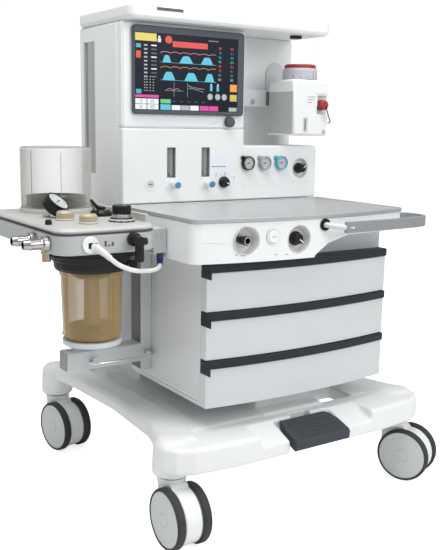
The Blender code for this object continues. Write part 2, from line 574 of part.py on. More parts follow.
arm_bm = prism([(-0.0045, 0.019), (0.0045, 0.019), (0.0045, 0.0238), (-0.0045, 0.0238)], 0.0, 0.052,
               along="Y", bm=None, top=[(-0.0040, 0.0420), (0.0040, 0.0420), (0.0040, 0.0480),
                                        (-0.0040, 0.0480)])
bmesh.ops.transform(arm_bm, matrix=Matrix.Rotation(radians(126), 4, "Z"), verts=arm_bm.verts)
join(lever, tool(arm_bm, LEVER_AT))

# patient ports: open 22 mm taper fittings from the left end of the block
PORT_DIR = radians(-22)
for n, (y, z, reach) in enumerate(((-0.1450, 0.7310, 0.0560), (-0.2300, 0.7330, 0.0600)), 1):
    root = Vector((PLATE_X[0] - GAP, y, z))
    bm = turned([(0, -0.001), (0.0180, -0.001), (0.0180, 0.0140), (0.0125, 0.0160), (0.0125, 0.0420),
                 (0.0110, reach), (0.0078, reach), (0.0080, 0.0160), (0, 0.0160)], along="-X", segments=20)
    bmesh.ops.translate(bm, vec=(-0.001, 0, 0), verts=bm.verts)
    finish("patient_port_%d" % n, bm, CHROME, root)

SENSOR_AT = (-0.5650, PLATE_Y[0], 0.7330)
sensor = finish("oxygen_sensor", turned([(0, GAP), (0.0220, GAP), (0.0220, 0.0060), (0, 0.0060)],
                                        along="-Y", segments=20), WHITE, SENSOR_AT)
SENSOR_LEAD_R = 0.0055
LEAD = [(-0.5560, -0.3045, 0.7290), (-0.5400, -0.3230, 0.7130), (-0.5150, -0.3350, 0.6900),
        (-0.4780, -0.3330, 0.6740), (-0.4360, -0.3100, 0.6650), (-0.3980, -0.2850, 0.6600),
        (-0.3700, -0.2640, 0.6620), (-0.3560, -0.2420, 0.6740)]
tube("sensor_lead", LEAD, SENSOR_LEAD_R, WHITE, sides=2, step=0.014)

elbow = finish("drain_elbow", turned([(0, 0.0004), (0.0165, 0.0004), (0.0165, 0.0140), (0.0110, 0.0160),
                                      (0.0110, 0.0440), (0, 0.0440)], along="-Y", segments=16,
                                     at=(-0.4570, PLATE_Y[0], 0.7400)), BLACK)
join(elbow, tool(rod(0.0105, 0.6900, 0.7400, segments=14, at=(-0.4550, PLATE_Y[0] - 0.0330, 0))))

# ---- absorber under the block -------------------------------------------------------
LOCK_AT = (*CAN_AT, BLOCK_Z[0])
lock = finish("lock_ring", turned([(0, -GAP), (0.1150, -GAP), (0.1150, -0.0200), (0.0950, -0.0240),
                                   (0.0900, -0.0565), (0, -0.0565)], segments=28),
              BLACK, LOCK_AT)
join(lock, tool(shifted(prism([(-0.4230, -0.2040), (-0.4060, -0.2180), (-0.4010, -0.2110), (-0.4160, -0.1960)],
                              0.6560, 0.6740), LOCK_AT), LOCK_AT))
finish("canister", turned([(0, CAN_Z[1]), (0.0790, CAN_Z[1]), (0.0790, CAN_Z[1] - 0.010),
                           (CAN_R, CAN_Z[1] - 0.014), (CAN_R - 0.004, CAN_Z[0] + 0.012),
                           (CAN_R - 0.014, CAN_Z[0]), (0, CAN_Z[0])], segments=24),
       ((0.46, 0.33, 0.13), 0.10, 0.0, 0.45), (*CAN_AT, 0))

# the canister stands on a plate whose two shafts drop into the bracket's beam
BEAM_Y = (-0.0870, -0.0370)
BEAM_Z = (0.3720, 0.4230)
SHAFTS = ((-0.5200, 0.0040), (-0.4700, 0.0100))
tray = finish("canister_tray", turned([(0, 0.4633), (0.0720, 0.4633), (0.0740, 0.4660), (0.0740, 0.4770),
                                       (0, 0.4770)], segments=24), PALE, (*CAN_AT, 0))
join(tray, tool(box(-0.5360, -0.4560, -0.1050, -0.0440, 0.4640, 0.4720)))
bracket = finish("absorber_bracket", box(-0.5405, -0.2960, *BEAM_Y, *BEAM_Z, 0.003), PALE)
join(bracket, tool(box(-0.3270, -CAB_X - GAP, BEAM_Y[0], -0.0300, 0.3450, CONSOLE_Z - GAP)))
WELL_GAP = 0.0020                       # room round a shaft in its square well
for x, r in SHAFTS:
    y = 0.5 * (BEAM_Y[0] + BEAM_Y[1])
    join(tray, tool(rod(r, 0.4170, 0.4700, at=(x, y, 0), segments=12)))
    half = r + WELL_GAP
    cut(bracket, tool(box(x - half, x + half, y - half, y + half, 0.3980, 0.4600)))

# the bail that raises and lowers the plate turns in two lugs on the beam
BAIL_AT = (-0.3920, -0.0925, 0.3970)
for x in (-0.4700, -0.3140):
    join(bracket, tool(box(x - 0.0045, x + 0.0045, -0.0985, -0.0800, 0.3900, 0.4040)))
    cut(bracket, tool(rod(0.0040, x - 0.007, x + 0.007, along="X", segments=12, at=(0, *BAIL_AT[1:]))))
end, side, front = Vector((-0.4635, *BAIL_AT[1:])), -0.4830, -0.1200
left_half = [end, end + Vector((-0.0140, 0, 0)), (side - 0.0005, -0.0970, 0.3968), (side, -0.1060, 0.3960),
             (-0.4745, -0.1165, 0.3950), (-0.4600, front, 0.3945), (-0.4200, front, 0.3942)]
bail = [Vector(p) for p in left_half]
bail += [Vector((2 * BAIL_AT[0] - p.x, p.y, p.z)) for p in reversed(bail)]
tube("lift_handle", bail, 0.0032, CHROME, sides=2, step=0.012)
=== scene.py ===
"""Looks of a veterinary anesthesia machine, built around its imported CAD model.

Pieces are drawn in the machine frame, in metres: the front faces -Y, the operator's right is +X, x = 0 is
the middle of the tower and y = 0 the face of its display panel. ORIGIN takes them to the frame of the CAD.
"""

import json
from math import cos, pi, radians, sin, tan

import bmesh
import bpy
from mathutils import Matrix, Vector


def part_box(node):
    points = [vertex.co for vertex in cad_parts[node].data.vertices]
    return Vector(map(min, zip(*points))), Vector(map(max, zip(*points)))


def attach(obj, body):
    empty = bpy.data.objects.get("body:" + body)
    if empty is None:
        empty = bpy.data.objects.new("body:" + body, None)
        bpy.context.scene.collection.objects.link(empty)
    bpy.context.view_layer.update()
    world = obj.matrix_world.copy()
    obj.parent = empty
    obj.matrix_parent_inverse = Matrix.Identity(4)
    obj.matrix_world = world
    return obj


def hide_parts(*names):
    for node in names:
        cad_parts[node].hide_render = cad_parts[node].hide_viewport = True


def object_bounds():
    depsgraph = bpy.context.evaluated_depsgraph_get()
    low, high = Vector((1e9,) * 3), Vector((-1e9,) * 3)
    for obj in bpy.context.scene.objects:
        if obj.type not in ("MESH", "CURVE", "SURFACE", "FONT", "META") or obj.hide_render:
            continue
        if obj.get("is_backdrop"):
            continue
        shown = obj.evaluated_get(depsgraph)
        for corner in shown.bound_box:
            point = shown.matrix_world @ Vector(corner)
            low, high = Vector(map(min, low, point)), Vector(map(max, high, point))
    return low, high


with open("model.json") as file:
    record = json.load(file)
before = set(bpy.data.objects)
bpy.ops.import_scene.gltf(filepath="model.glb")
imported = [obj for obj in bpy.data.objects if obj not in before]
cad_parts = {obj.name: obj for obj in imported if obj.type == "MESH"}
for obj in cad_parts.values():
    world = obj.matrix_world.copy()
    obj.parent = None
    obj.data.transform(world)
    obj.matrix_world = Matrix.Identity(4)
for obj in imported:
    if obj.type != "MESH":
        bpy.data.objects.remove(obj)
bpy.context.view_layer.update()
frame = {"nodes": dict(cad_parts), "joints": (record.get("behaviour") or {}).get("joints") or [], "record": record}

BODY_OF = {n: b for b, nodes in frame["record"]["behaviour"]["bodies"].items() for n in nodes}
_tower, _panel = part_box("tower_housing"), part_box("display_panel")
ORIGIN = Vector(((_tower[0].x + _tower[1].x) / 2, _panel[0].y, 0.0))


def spot(node):
    """A CAD node's corners in the machine frame."""
    low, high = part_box(node)
    return low - ORIGIN, high - ORIGIN


def behind(node):
    """The middle of a CAD node's back face, where a control meets its panel."""
    low, high = spot(node)
    return Vector(((low.x + high.x) / 2, high.y, (low.z + high.z) / 2))


def placed(name, data):
    """A new object, linked to the scene."""
    obj = bpy.data.objects.new(name, data)
    bpy.context.scene.collection.objects.link(obj)
    return obj


# ---- camera ---------------------------------------------------------------------
CAMERA_AT = Vector((-1.3356, -1.9962, 1.0061))
YAW, PITCH, ROLL = 0.5837, 0.1808, 0.0159
LENS = 53.76


def make_camera():
    """The photo's camera: where it stands, its turn, tilt and roll in radians and its lens."""
    ahead = Vector((sin(YAW) * cos(PITCH), cos(YAW) * cos(PITCH), -sin(PITCH)))
    level = Vector((cos(YAW), -sin(YAW), 0.0))
    upward = level.cross(ahead)
    right = level * cos(ROLL) + upward * sin(ROLL)
    up = upward * cos(ROLL) - level * sin(ROLL)
    data = bpy.data.cameras.new("camera")
    data.lens = LENS
    camera = placed("camera", data)
    turn = Matrix((right, up, -ahead)).transposed().to_4x4()
    camera.matrix_world = Matrix.Translation(CAMERA_AT + ORIGIN) @ turn
    bpy.context.scene.camera = camera


make_camera()


# ---- materials ------------------------------------------------------------------
class Nodes:
    """A short way to write a node tree."""

    def __init__(self, name):
        self.mat = bpy.data.materials.new(name)
        self.mat.use_nodes = True
        self.tree = self.mat.node_tree
        self.shader = self.tree.nodes["Principled BSDF"]

    def node(self, kind, links=None, **settings):
        made = self.tree.nodes.new(kind)
        for key, value in settings.items():
            if hasattr(made, key):
                setattr(made, key, value)
            else:
                made.inputs[key.replace("_", " ")].default_value = value
        for key, source in (links or {}).items():
            self.link(source, made.inputs[key])
        return made

    def link(self, source, target):
        self.tree.links.new(source, target)

    def coordinates(self, scale=(1, 1, 1)):
        where = self.node("ShaderNodeTexCoord")
        mapping = self.node("ShaderNodeMapping", {"Vector": where.outputs["Object"]})
        mapping.inputs["Scale"].default_value = scale
        return mapping.outputs["Vector"]

    def set(self, **values):
        for key, value in values.items():
            self.shader.inputs[key.replace("_", " ")].default_value = value


GRAIN_DEPTH = 0.0002


def between(n, factor, colour, tint):
    """A colour that drifts between a darker and a lighter tint of itself."""
    mix = n.node("ShaderNodeMix", {"Factor": factor}, data_type="RGBA")
    mix.inputs["A"].default_value = (*[c * (1 - tint) for c in colour], 1.0)
    mix.inputs["B"].default_value = (*[min(1.0, c * (1 + tint)) for c in colour], 1.0)
    return mix.outputs["Result"]


def surface(name, colour, rough, metal=0.0, tint=0.035, grain=520.0, bump=0.12, stretch=(1, 1, 1),
        spread=0.06, coat=0.0, shine=0.5):
    """A painted, moulded or machined surface: soft blotches of tint and gloss over a fine grain."""
    n = Nodes(name)
    n.set(Metallic=metal, Coat_Weight=coat, Coat_Roughness=0.12, Specular_IOR_Level=shine)
    flat, along = n.coordinates(), n.coordinates(stretch)
    cloud = n.node("ShaderNodeTexNoise", {"Vector": flat}, Scale=7.0, Detail=5.0, Roughness=0.6)
    fine = n.node("ShaderNodeTexNoise", {"Vector": along}, Scale=grain, Detail=3.0, Roughness=0.55)
    n.link(between(n, cloud.outputs["Fac"], colour, tint), n.shader.inputs["Base Color"])
    blend = n.node("ShaderNodeMath", {0: cloud.outputs["Fac"], 1: fine.outputs["Fac"]},
        operation="MULTIPLY")
    gloss = n.node("ShaderNodeMapRange", {"Value": blend.outputs["Value"]}, From_Min=0.1, From_Max=0.42,
        To_Min=max(0.02, rough - spread), To_Max=rough + spread)
    n.link(gloss.outputs["Result"], n.shader.inputs["Roughness"])
    relief = n.node("ShaderNodeBump", {"Height": fine.outputs["Fac"]}, Strength=bump, Distance=GRAIN_DEPTH)
    n.link(relief.outputs["Normal"], n.shader.inputs["Normal"])
    return n.mat


def clear(name, colour, rough, facing, edge, tint=0.05):
    """Clear moulded plastic: see-through face on, denser where it is seen on edge."""
    n = Nodes(name)
    n.set(Specular_IOR_Level=0.6, Coat_Weight=0.4, Coat_Roughness=0.04)
    flat = n.coordinates()
    cloud = n.node("ShaderNodeTexNoise", {"Vector": flat}, Scale=9.0, Detail=4.0)
    n.link(between(n, cloud.outputs["Fac"], colour, tint), n.shader.inputs["Base Color"])
    gloss = n.node("ShaderNodeMapRange", {"Value": cloud.outputs["Fac"]}, To_Min=rough * 0.5,
        To_Max=rough * 1.6)
    n.link(gloss.outputs["Result"], n.shader.inputs["Roughness"])
    weight = n.node("ShaderNodeLayerWeight", Blend=0.35)
    alpha = n.node("ShaderNodeMapRange", {"Value": weight.outputs["Facing"]}, To_Min=facing, To_Max=edge)
    n.link(alpha.outputs["Result"], n.shader.inputs["Alpha"])
    return n.mat


def glow(name, colour, strength):
    """A lit patch of a screen, with the faint grid of its dots."""
    n = Nodes(name)
    n.set(Roughness=0.35, Emission_Strength=strength)
    n.shader.inputs["Base Color"].default_value = (*[0.25 * c for c in colour], 1.0)
    grid = n.node("ShaderNodeTexNoise", {"Vector": n.coordinates()}, Scale=160.0, Detail=2.0)
    mix = n.node("ShaderNodeMix", {"Factor": grid.outputs["Fac"]}, data_type="RGBA")
    mix.inputs["A"].default_value = (*[0.88 * c for c in colour], 1.0)
    mix.inputs["B"].default_value = (*colour, 1.0)
    n.link(mix.outputs["Result"], n.shader.inputs["Emission Color"])
    return n.mat


WHITE = (0.83, 0.845, 0.845)
LOOKS = {}


def paint(key, name, slot, *colour_and_gloss, kind=surface, **more):
    """Add a look: its key, the name of its material and the record's slot that it belongs to."""
    LOOKS[key] = (kind(name, *colour_and_gloss, **more), slot)


paint("shell", "shell_white", "white_shell", WHITE, 0.36, coat=0.15)
paint("cast", "cast_white", "white_cast", (0.8, 0.81, 0.81), 0.42, grain=260, bump=0.2)
# painted shade: a darker copy of the shell white, worn by the cabinet so that its sides look shaded
paint("shaded_cabinet_white", "cabinet_white", "white_shell", (0.65, 0.665, 0.665), 0.4, grain=600)
paint("pale", "pale_grey", "pale_shell", (0.62, 0.65, 0.65), 0.42, grain=600)
paint("drawer", "drawer_grey", "pale_shell", (0.6, 0.63, 0.635), 0.36, grain=600, coat=0.1)
paint("slate", "slate", "slate_trim", (0.018, 0.022, 0.03), 0.48, grain=900, bump=0.25, shine=0.25)
paint("pedal", "pedal_rubber", "slate_trim", (0.048, 0.055, 0.064), 0.6, grain=700, bump=0.35, shine=0.25)
paint("black", "black", "black_plastic", (0.009, 0.009, 0.01), 0.4, grain=800, bump=0.25, tint=0.12,
    shine=0.3)
paint("rubber", "black_rubber", "bellows_black", (0.007, 0.007, 0.008), 0.62, grain=420, bump=0.4, tint=0.2,
    shine=0.2)
paint("chrome", "chrome", "chrome", (0.78, 0.79, 0.8), 0.1, metal=1.0, tint=0.02, spread=0.04, bump=0.03)
paint("steel", "bright_steel", "chrome", (0.46, 0.45, 0.43), 0.16, metal=1.0, tint=0.04, spread=0.05,
    grain=160, bump=0.05)
paint("satin", "satin_metal", "chrome", (0.6, 0.6, 0.59), 0.27, metal=1.0, grain=90, stretch=(1, 1, 14),
    bump=0.06)
paint("brass", "brass", "chrome", (0.52, 0.43, 0.28), 0.26, metal=1.0, grain=300, bump=0.08)
paint("desk", "brushed_top", "steel_top", (0.47, 0.48, 0.485), 0.36, metal=0.35, grain=60,
    stretch=(0.6, 16, 16), bump=0.16, tint=0.03)
paint("rail", "rail_aluminium", "rail", (0.58, 0.59, 0.59), 0.36, metal=0.6, grain=120,
    stretch=(14, 14, 0.6), bump=0.12)
paint("handle", "handle_paint", "handle_grey", (0.29, 0.31, 0.32), 0.36, metal=0.25, grain=700, coat=0.2)
paint("tyre", "tyre", "wheel_grey", (0.04, 0.041, 0.042), 0.6, grain=380, bump=0.4, tint=0.12, shine=0.25)
paint("disc", "wheel_disc", "wheel_grey", (0.6, 0.62, 0.62), 0.4, grain=500)
paint("blue", "blue_cap", "blue_knob", (0.05, 0.26, 0.46), 0.34, coat=0.3, bump=0.06)
paint("teal", "teal_cap", "blue_knob", (0.03, 0.25, 0.33), 0.34, coat=0.3, bump=0.06)
paint("red", "red_cap", "red_cap", (0.36, 0.03, 0.028), 0.42, grain=500, bump=0.2)
paint("tan", "valve_tan", "valve_tan", (0.46, 0.39, 0.26), 0.22, coat=0.5, bump=0.05, tint=0.08)
paint("lilac", "dial_grey", "pale_shell", (0.5, 0.5, 0.56), 0.4, grain=600)
paint("dome", "clear_dome", "clear_dome", (0.62, 0.6, 0.565), 0.04, 0.085, 0.8, kind=clear)
paint("glass", "gauge_glass", "clear_dome", (0.85, 0.88, 0.9), 0.03, 0.04, 0.4, kind=clear)
paint("amber", "amber", "amber", (0.49, 0.33, 0.12), 0.04, 0.31, 0.97, kind=clear)
paint("cord", "cord_white", "cord_white", (0.8, 0.8, 0.78), 0.45, grain=300, bump=0.1)
paint("navy", "navy", "blue_knob", (0.02, 0.045, 0.16), 0.42, grain=500, bump=0.2)
# painted shade: a grey for a left-facing side, darker than the white it covers because that side is turned from
# the light
paint("shade", "side_grey", "pale_shell", (0.46, 0.475, 0.48), 0.42, grain=600)
# dark grey: the own colour of the dome's foot ring, and painted shade on the left end of the beam
paint("ring_grey_and_end_shade", "end_grey", "pale_shell", (0.27, 0.28, 0.285), 0.42, grain=600)
# near black: the own colour of the absorbent's dark foot, and painted shade on the side of the bracket's column
paint("dark_side", "column_side", "pale_shell", (0.115, 0.115, 0.112), 0.45, grain=500, shine=0.3)
paint("plate", "plate_grey", "white_shell", (0.5, 0.5, 0.478), 0.4, grain=500)
paint("block", "block_grey", "pale_shell", (0.47, 0.485, 0.48), 0.42, grain=500)
paint("bezel", "bezel_grey", "slate_trim", (0.078, 0.09, 0.108), 0.46, grain=900, bump=0.2, shine=0.3)
paint("scoop", "bowl_white", "white_shell", (0.74, 0.74, 0.735), 0.34, grain=500)
paint("cyan_rim", "cyan_rim", "blue_knob", (0.06, 0.38, 0.56), 0.36, coat=0.2, bump=0.06)
paint("straw", "straw_plastic", "amber", (0.55, 0.47, 0.32), 0.4, grain=300, tint=0.12, bump=0.2)
paint("rust", "rust_strip", "amber", (0.36, 0.13, 0.045), 0.5, grain=400, tint=0.15)
paint("ink", "ink", "slate_trim", (0.1, 0.11, 0.12), 0.6, tint=0.1)
paint("line", "line_grey", "pale_shell", (0.34, 0.36, 0.37), 0.5, tint=0.05)
paint("seam", "seam", "pale_shell", (0.2, 0.21, 0.215), 0.7, tint=0.1)
paint("window", "window_grey", "pale_shell", (0.24, 0.265, 0.255), 0.3, tint=0.08, grain=300)
paint("patch", "panel_patch", "white_shell", (0.8, 0.835, 0.89), 0.4, tint=0.01)
paint("face", "dial_face", "white_shell", (0.56, 0.58, 0.58), 0.5, tint=0.02)
paint("screen", "screen_dark", "slate_trim", (0.01, 0.014, 0.024), 0.3, bump=0.02, shine=0.15)
LIT = {"yellow": (0.75, 0.62, 0.12), "white": (0.8, 0.82, 0.84), "red": (0.72, 0.07, 0.05),
    "aqua": (0.05, 0.42, 0.46), "pink": (0.78, 0.32, 0.44), "cyan": (0.1, 0.52, 0.68),
    "orange": (0.8, 0.36, 0.07), "magenta": (0.72, 0.06, 0.34), "green": (0.14, 0.55, 0.22),
    "teal": (0.04, 0.3, 0.3), "grey": (0.42, 0.45, 0.47), "dim": (0.09, 0.11, 0.13),
    "gold": (0.62, 0.5, 0.1)}
for key, colour in LIT.items():
    paint("lit_" + key, "lit_" + key, "slate_trim", colour, 0.9, kind=glow)


# ---- shape helpers --------------------------------------------------------------
def fillet(points, radius, closed=True, steps=4):
    """Round the corners of an outline or a profile. A third number is a point's own radius."""
    out, n = [], len(points)
    for i, point in enumerate(points):
        p = Vector(point[:2])
        r = point[2] if len(point) > 2 else radius
        if not closed and i in (0, n - 1):
            out.append(tuple(p))
            continue
        a = Vector(points[i - 1][:2]) - p
        b = Vector(points[(i + 1) % n][:2]) - p
        bend = pi - a.angle(b)
        if bend < radians(12) or r <= 0:
            out.append(tuple(p))
            continue
        reach = min(r * tan(bend / 2), 0.48 * a.length, 0.48 * b.length)
        r = reach / tan(bend / 2)
        centre = p + (a.normalized() + b.normalized()).normalized() * (r / cos(bend / 2))
        u, v = p + a.normalized() * reach - centre, p + b.normalized() * reach - centre
        for k in range(steps + 1):
            t = k / steps
            out.append(tuple(centre + (sin((1 - t) * bend) * u + sin(t * bend) * v) / sin(bend)))
    return out


AXIS = {"X": Matrix.Rotation(pi / 2, 4, "Y"), "-X": Matrix.Rotation(-pi / 2, 4, "Y"),
    "-Y": Matrix.Rotation(pi / 2, 4, "X"), "Y": Matrix.Rotation(-pi / 2, 4, "X"), "Z": Matrix.Identity(4),
    "-Z": Matrix.Rotation(pi, 4, "X")}


def lathe(profile, along="Z", at=(0, 0, 0), soft=0.0, segments=56, ring=False, ribs=0, rib=0.0):
    """Turn (radius, height) points about an axis. ring closes the profile on itself; ribs flute it."""
    if soft:
        profile = fillet(profile, soft, closed=ring)
    bm = bmesh.new()
    loops = []
    for r, h in profile:
        turns = [2 * pi * k / segments for k in range(segments)] if r > 1e-7 else [0.0]
        sizes = [r - rib * (0.5 - 0.5 * cos(a * ribs)) ** 2 if ribs and r > 1e-7 else r for a in turns]
        loops.append([bm.verts.new((size * cos(a), size * sin(a), h)) for a, size in zip(turns, sizes)])
    if ring:
        loops.append(loops[0])
    for a, b in zip(loops, loops[1:]):
        for k in range(segments):
            k1 = (k + 1) % segments
            if len(a) == 1 and len(b) == 1:
                break
            if len(a) == 1:
                bm.faces.new((a[0], b[k], b[k1]))
            elif len(b) == 1:
                bm.faces.new((a[k], a[k1], b[0]))
            else:
                bm.faces.new((a[k], a[k1], b[k1], b[k]))
    bmesh.ops.transform(bm, matrix=Matrix.Translation(at) @ AXIS[along], verts=bm.verts)
    bmesh.ops.recalc_face_normals(bm, faces=bm.faces)
    return bm


def slab(outline, low, high, along="Z", soft=0.0, segments=3):
    """Extrude an outline: (y, z) along X, (x, z) along Y, (x, y) along Z."""
    bm = bmesh.new()

    def corner(a, b, c):
        return {"X": (c, a, b), "Y": (a, c, b), "Z": (a, b, c)}[along]
    near = [bm.verts.new(corner(a, b, low)) for a, b in outline]
    far = [bm.verts.new(corner(a, b, high)) for a, b in outline]
    caps = [bm.faces.new(near), bm.faces.new(list(reversed(far)))]
    for i in range(len(near)):
        j = (i + 1) % len(near)
        bm.faces.new((near[i], far[i], far[j], near[j]))
    bmesh.ops.recalc_face_normals(bm, faces=bm.faces)
    if soft:
        rim = list({e for f in caps for e in f.edges})
        bmesh.ops.bevel(bm, geom=rim, offset=soft, segments=segments, profile=0.5, affect="EDGES")
    return bm


def block(x0, x1, y0, y1, z0, z1, soft=0.0, segments=3):
    """A box, with its edges rounded where soft is given."""
    x0, x1 = sorted((x0, x1))
    bm = slab([(x0, y0), (x1, y0), (x1, y1), (x0, y1)], z0, z1)
    if soft:
        bmesh.ops.bevel(bm, geom=bm.edges[:], offset=soft, segments=segments, profile=0.5, affect="EDGES")
    return bm


def plaque(a0, a1, b0, b1, r, low, high, along="Y", soft=0.0):
    """A thin plate with rounded corners, as extruded by slab."""
    return slab(fillet([(a0, b0), (a1, b0), (a1, b1), (a0, b1)], r), low, high, along, soft)


def disc(r, h0, h1, along="Z", at=(0, 0, 0), soft=0.0, segments=48, **more):
    """A solid round plate or rod."""
    return lathe([(0, h0), (r, h0), (r, h1), (0, h1)], along, at, soft, segments, **more)


def band(r0, r1, h0, h1, along="Z", at=(0, 0, 0), soft=0.0, segments=56, **more):
    """A ring of rectangular section."""
    return lathe([(r0, h0), (r1, h0), (r1, h1), (r0, h1)], along, at, soft, segments, ring=True, **more)


def curve_through(points, step):
    """Catmull-Rom curve through the route points, sampled about every step metres."""
    pts = [Vector(p) for p in points]
    pts = [2 * pts[0] - pts[1]] + pts + [2 * pts[-1] - pts[-2]]
    out = []
    for p0, p1, p2, p3 in zip(pts, pts[1:], pts[2:], pts[3:]):
        n = max(2, round((p2 - p1).length / step))
        for k in range(n):
            t = k / n
            square = (2 * p0 - 5 * p1 + 4 * p2 - p3) * t * t
            cube = (3 * p1 - p0 - 3 * p2 + p3) * t ** 3
            out.append(0.5 * (2 * p1 + (p2 - p0) * t + square + cube))
    out.append(pts[-2])
    return out


def ribbon(points, half):
    """The outline of a flat strip along 2-D points."""
    left, right = [], []
    for k, p in enumerate(points):
        d = (points[min(k + 1, len(points) - 1)] - points[max(k - 1, 0)]).normalized() * half
        left.append((p.x - d.y, p.y + d.x))
        right.append((p.x + d.y, p.y - d.x))
    return left + right[::-1]


def pipe(route, radius, sides=20):
    """A closed tube along points; radius may be a number or one for each point."""
    bm = bmesh.new()
    loops = []
    normal = None
    for i, p in enumerate(route):
        d = (route[min(i + 1, len(route) - 1)] - route[max(i - 1, 0)]).normalized()
        if normal is None:
            normal = d.orthogonal().normalized()
        normal = (normal - d * normal.dot(d)).normalized()
        other = d.cross(normal)
        r = radius[i] if hasattr(radius, "__len__") else radius
        turns = [2 * pi * k / sides for k in range(sides)]
        loops.append([bm.verts.new(p + r * (cos(a) * normal + sin(a) * other)) for a in turns])
    for a, b in zip(loops, loops[1:]):
        for k in range(sides):
            bm.faces.new((a[k], a[(k + 1) % sides], b[(k + 1) % sides], b[k]))
    bm.faces.new(loops[0])
    bm.faces.new(list(reversed(loops[-1])))
    bmesh.ops.recalc_face_normals(bm, faces=bm.faces)
    return bm


def turned(bm, angle, axis, at):
    """The same shape, turned by degrees about an axis through a point."""
    at = Vector(at)
    m = Matrix.Translation(at) @ Matrix.Rotation(radians(angle), 4, axis) @ Matrix.Translation(-at)
    bmesh.ops.transform(bm, matrix=m, verts=bm.verts)
    return bm


def spun(at, angle):
    """A place at a point, turned by degrees about the vertical."""
    return Matrix.Translation(at) @ Matrix.Rotation(radians(angle), 4, "Z")


class Piece:
    """Shapes that are joined into one object, each with its own look."""

    def __init__(self):
        self.bm = bmesh.new()
        self.looks = []

    def put(self, part, look, place=None):
        """Add a shape in one look, moved by place where that is given."""
        if look not in self.looks:
            self.looks.append(look)
        if place is not None:
            bmesh.ops.transform(part, matrix=place, verts=part.verts)
        for face in part.faces:
            face.material_index = self.looks.index(look)
        held = bpy.data.meshes.new("part")
        part.to_mesh(held)
        part.free()
        self.bm.from_mesh(held)
        bpy.data.meshes.remove(held)
        return self

    def make(self, name, body, *cad, smooth=38.0, at=ORIGIN):
        """Hand the piece over: on which body it rides and which CAD nodes it replaces."""
        mesh = bpy.data.meshes.new(name)
        self.bm.to_mesh(mesh)
        self.bm.free()
        for look in self.looks:
            mesh.materials.append(LOOKS[look][0])
        mesh.shade_smooth()
        mesh.set_sharp_from_angle(angle=radians(smooth))
        obj = placed(name, mesh)
        obj.location = at
        normals = obj.modifiers.new("normals", "WEIGHTED_NORMAL")
        normals.keep_sharp = True
        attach(obj, body)
        if cad:
            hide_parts(*cad)
        return obj


def one(name, bm, look, body, *cad, **more):
    """A piece of one shape and one look."""
    return Piece().put(bm, look).make(name, body, *cad, **more)


def refined(node, soft, segments=3, limit=38.0):
    """A copy of a CAD node's shape with its corners rounded, in the frame of the CAD."""
    bm = bmesh.new()
    bm.from_mesh(frame["nodes"][node].data)
    bmesh.ops.remove_doubles(bm, verts=bm.verts, dist=2e-5)
    bmesh.ops.dissolve_limit(bm, angle_limit=radians(0.6), verts=bm.verts[:], edges=bm.edges[:])
    if soft:
        edges = [e for e in bm.edges if len(e.link_faces) == 2 and e.calc_face_angle(0.0) > radians(limit)]
        bmesh.ops.bevel(bm, geom=edges, offset=soft, segments=segments, profile=0.5, affect="EDGES",
            clamp_overlap=False)
    return bm


def dress(node, look, soft=0.0015, segments=3, limit=38.0, name=None):
    """Stand a refined copy of a CAD node in its place."""
    return one(name or node + "_skin", refined(node, soft, segments, limit), look, BODY_OF[node], node,
        at=(0, 0, 0))


# ---- the two free cords ---------------------------------------------------------
LEAD_R, TETHER_R = 0.0055, 0.0016
LEAD = [(-0.556, -0.3045, 0.729), (-0.54, -0.323, 0.713), (-0.515, -0.335, 0.69), (-0.478, -0.333, 0.674),
    (-0.436, -0.31, 0.665), (-0.398, -0.285, 0.66), (-0.37, -0.264, 0.662), (-0.356, -0.242, 0.674)]
TETHER = [(0.305, -0.073, 1.064), (0.31, -0.074, 1.05), (0.317, -0.072, 1.036), (0.325, -0.069, 1.026),
    (0.332, -0.062, 1.019), (0.3345, -0.05, 1.016)]


def lay_cord(name, node, points, radius, look, body, step):
    """A free cord as a curve that stands for the tube of the CAD."""
    route = [p + ORIGIN for p in curve_through(points, step)]
    curve = bpy.data.curves.new(name, "CURVE")
    curve.dimensions = "3D"
    curve.bevel_depth = radius
    curve.bevel_resolution = 6
    curve.use_fill_caps = True
    spline = curve.splines.new("POLY")
    spline.points.add(len(route) - 1)
    for point, where in zip(spline.points, route):
        point.co = (*where, 1.0)
    spline.use_smooth = True
    curve.materials.append(LOOKS[look][0])
    obj = placed(name, curve)
    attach(obj, body)
    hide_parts(node)


def collar_rings(points, radii, thickness, gap):
    """A ribbed strain relief along a route."""
    route = curve_through(points, gap)
    fine, sizes = [], []
    for p, q, r in zip(route, route[1:], radii):
        for share, size in ((0.0, r), (0.5, r), (0.52, r - thickness), (0.98, r - thickness)):
            fine.append(p.lerp(q, share))
            sizes.append(size)
    return pipe(fine, sizes)


relief = Piece()
relief.put(collar_rings(LEAD, [0.0092, 0.009, 0.0088, 0.0086, 0.0084, 0.0081, 0.0078, 0.0075, 0.0072],
    0.0018, 0.005), "cord")
relief.put(collar_rings(list(reversed(LEAD)), [0.0078, 0.0078, 0.0076, 0.0074], 0.001, 0.005), "navy")
plug_at = Vector(LEAD[-1])
relief.put(lathe([(0, -0.003), (0.0084, -0.003), (0.0084, 0.01), (0.0072, 0.02), (0, 0.02)], "Z", plug_at,
    soft=0.0015, segments=32), "navy")
relief_obj = relief.make("lead_strain_reliefs", "machine")
lay_cord("sensor_cable", "sensor_lead", LEAD, LEAD_R, "cord", "machine", 0.008)
lay_cord("filler_tether", "cap_tether", TETHER, TETHER_R, "black", "machine", 0.004)


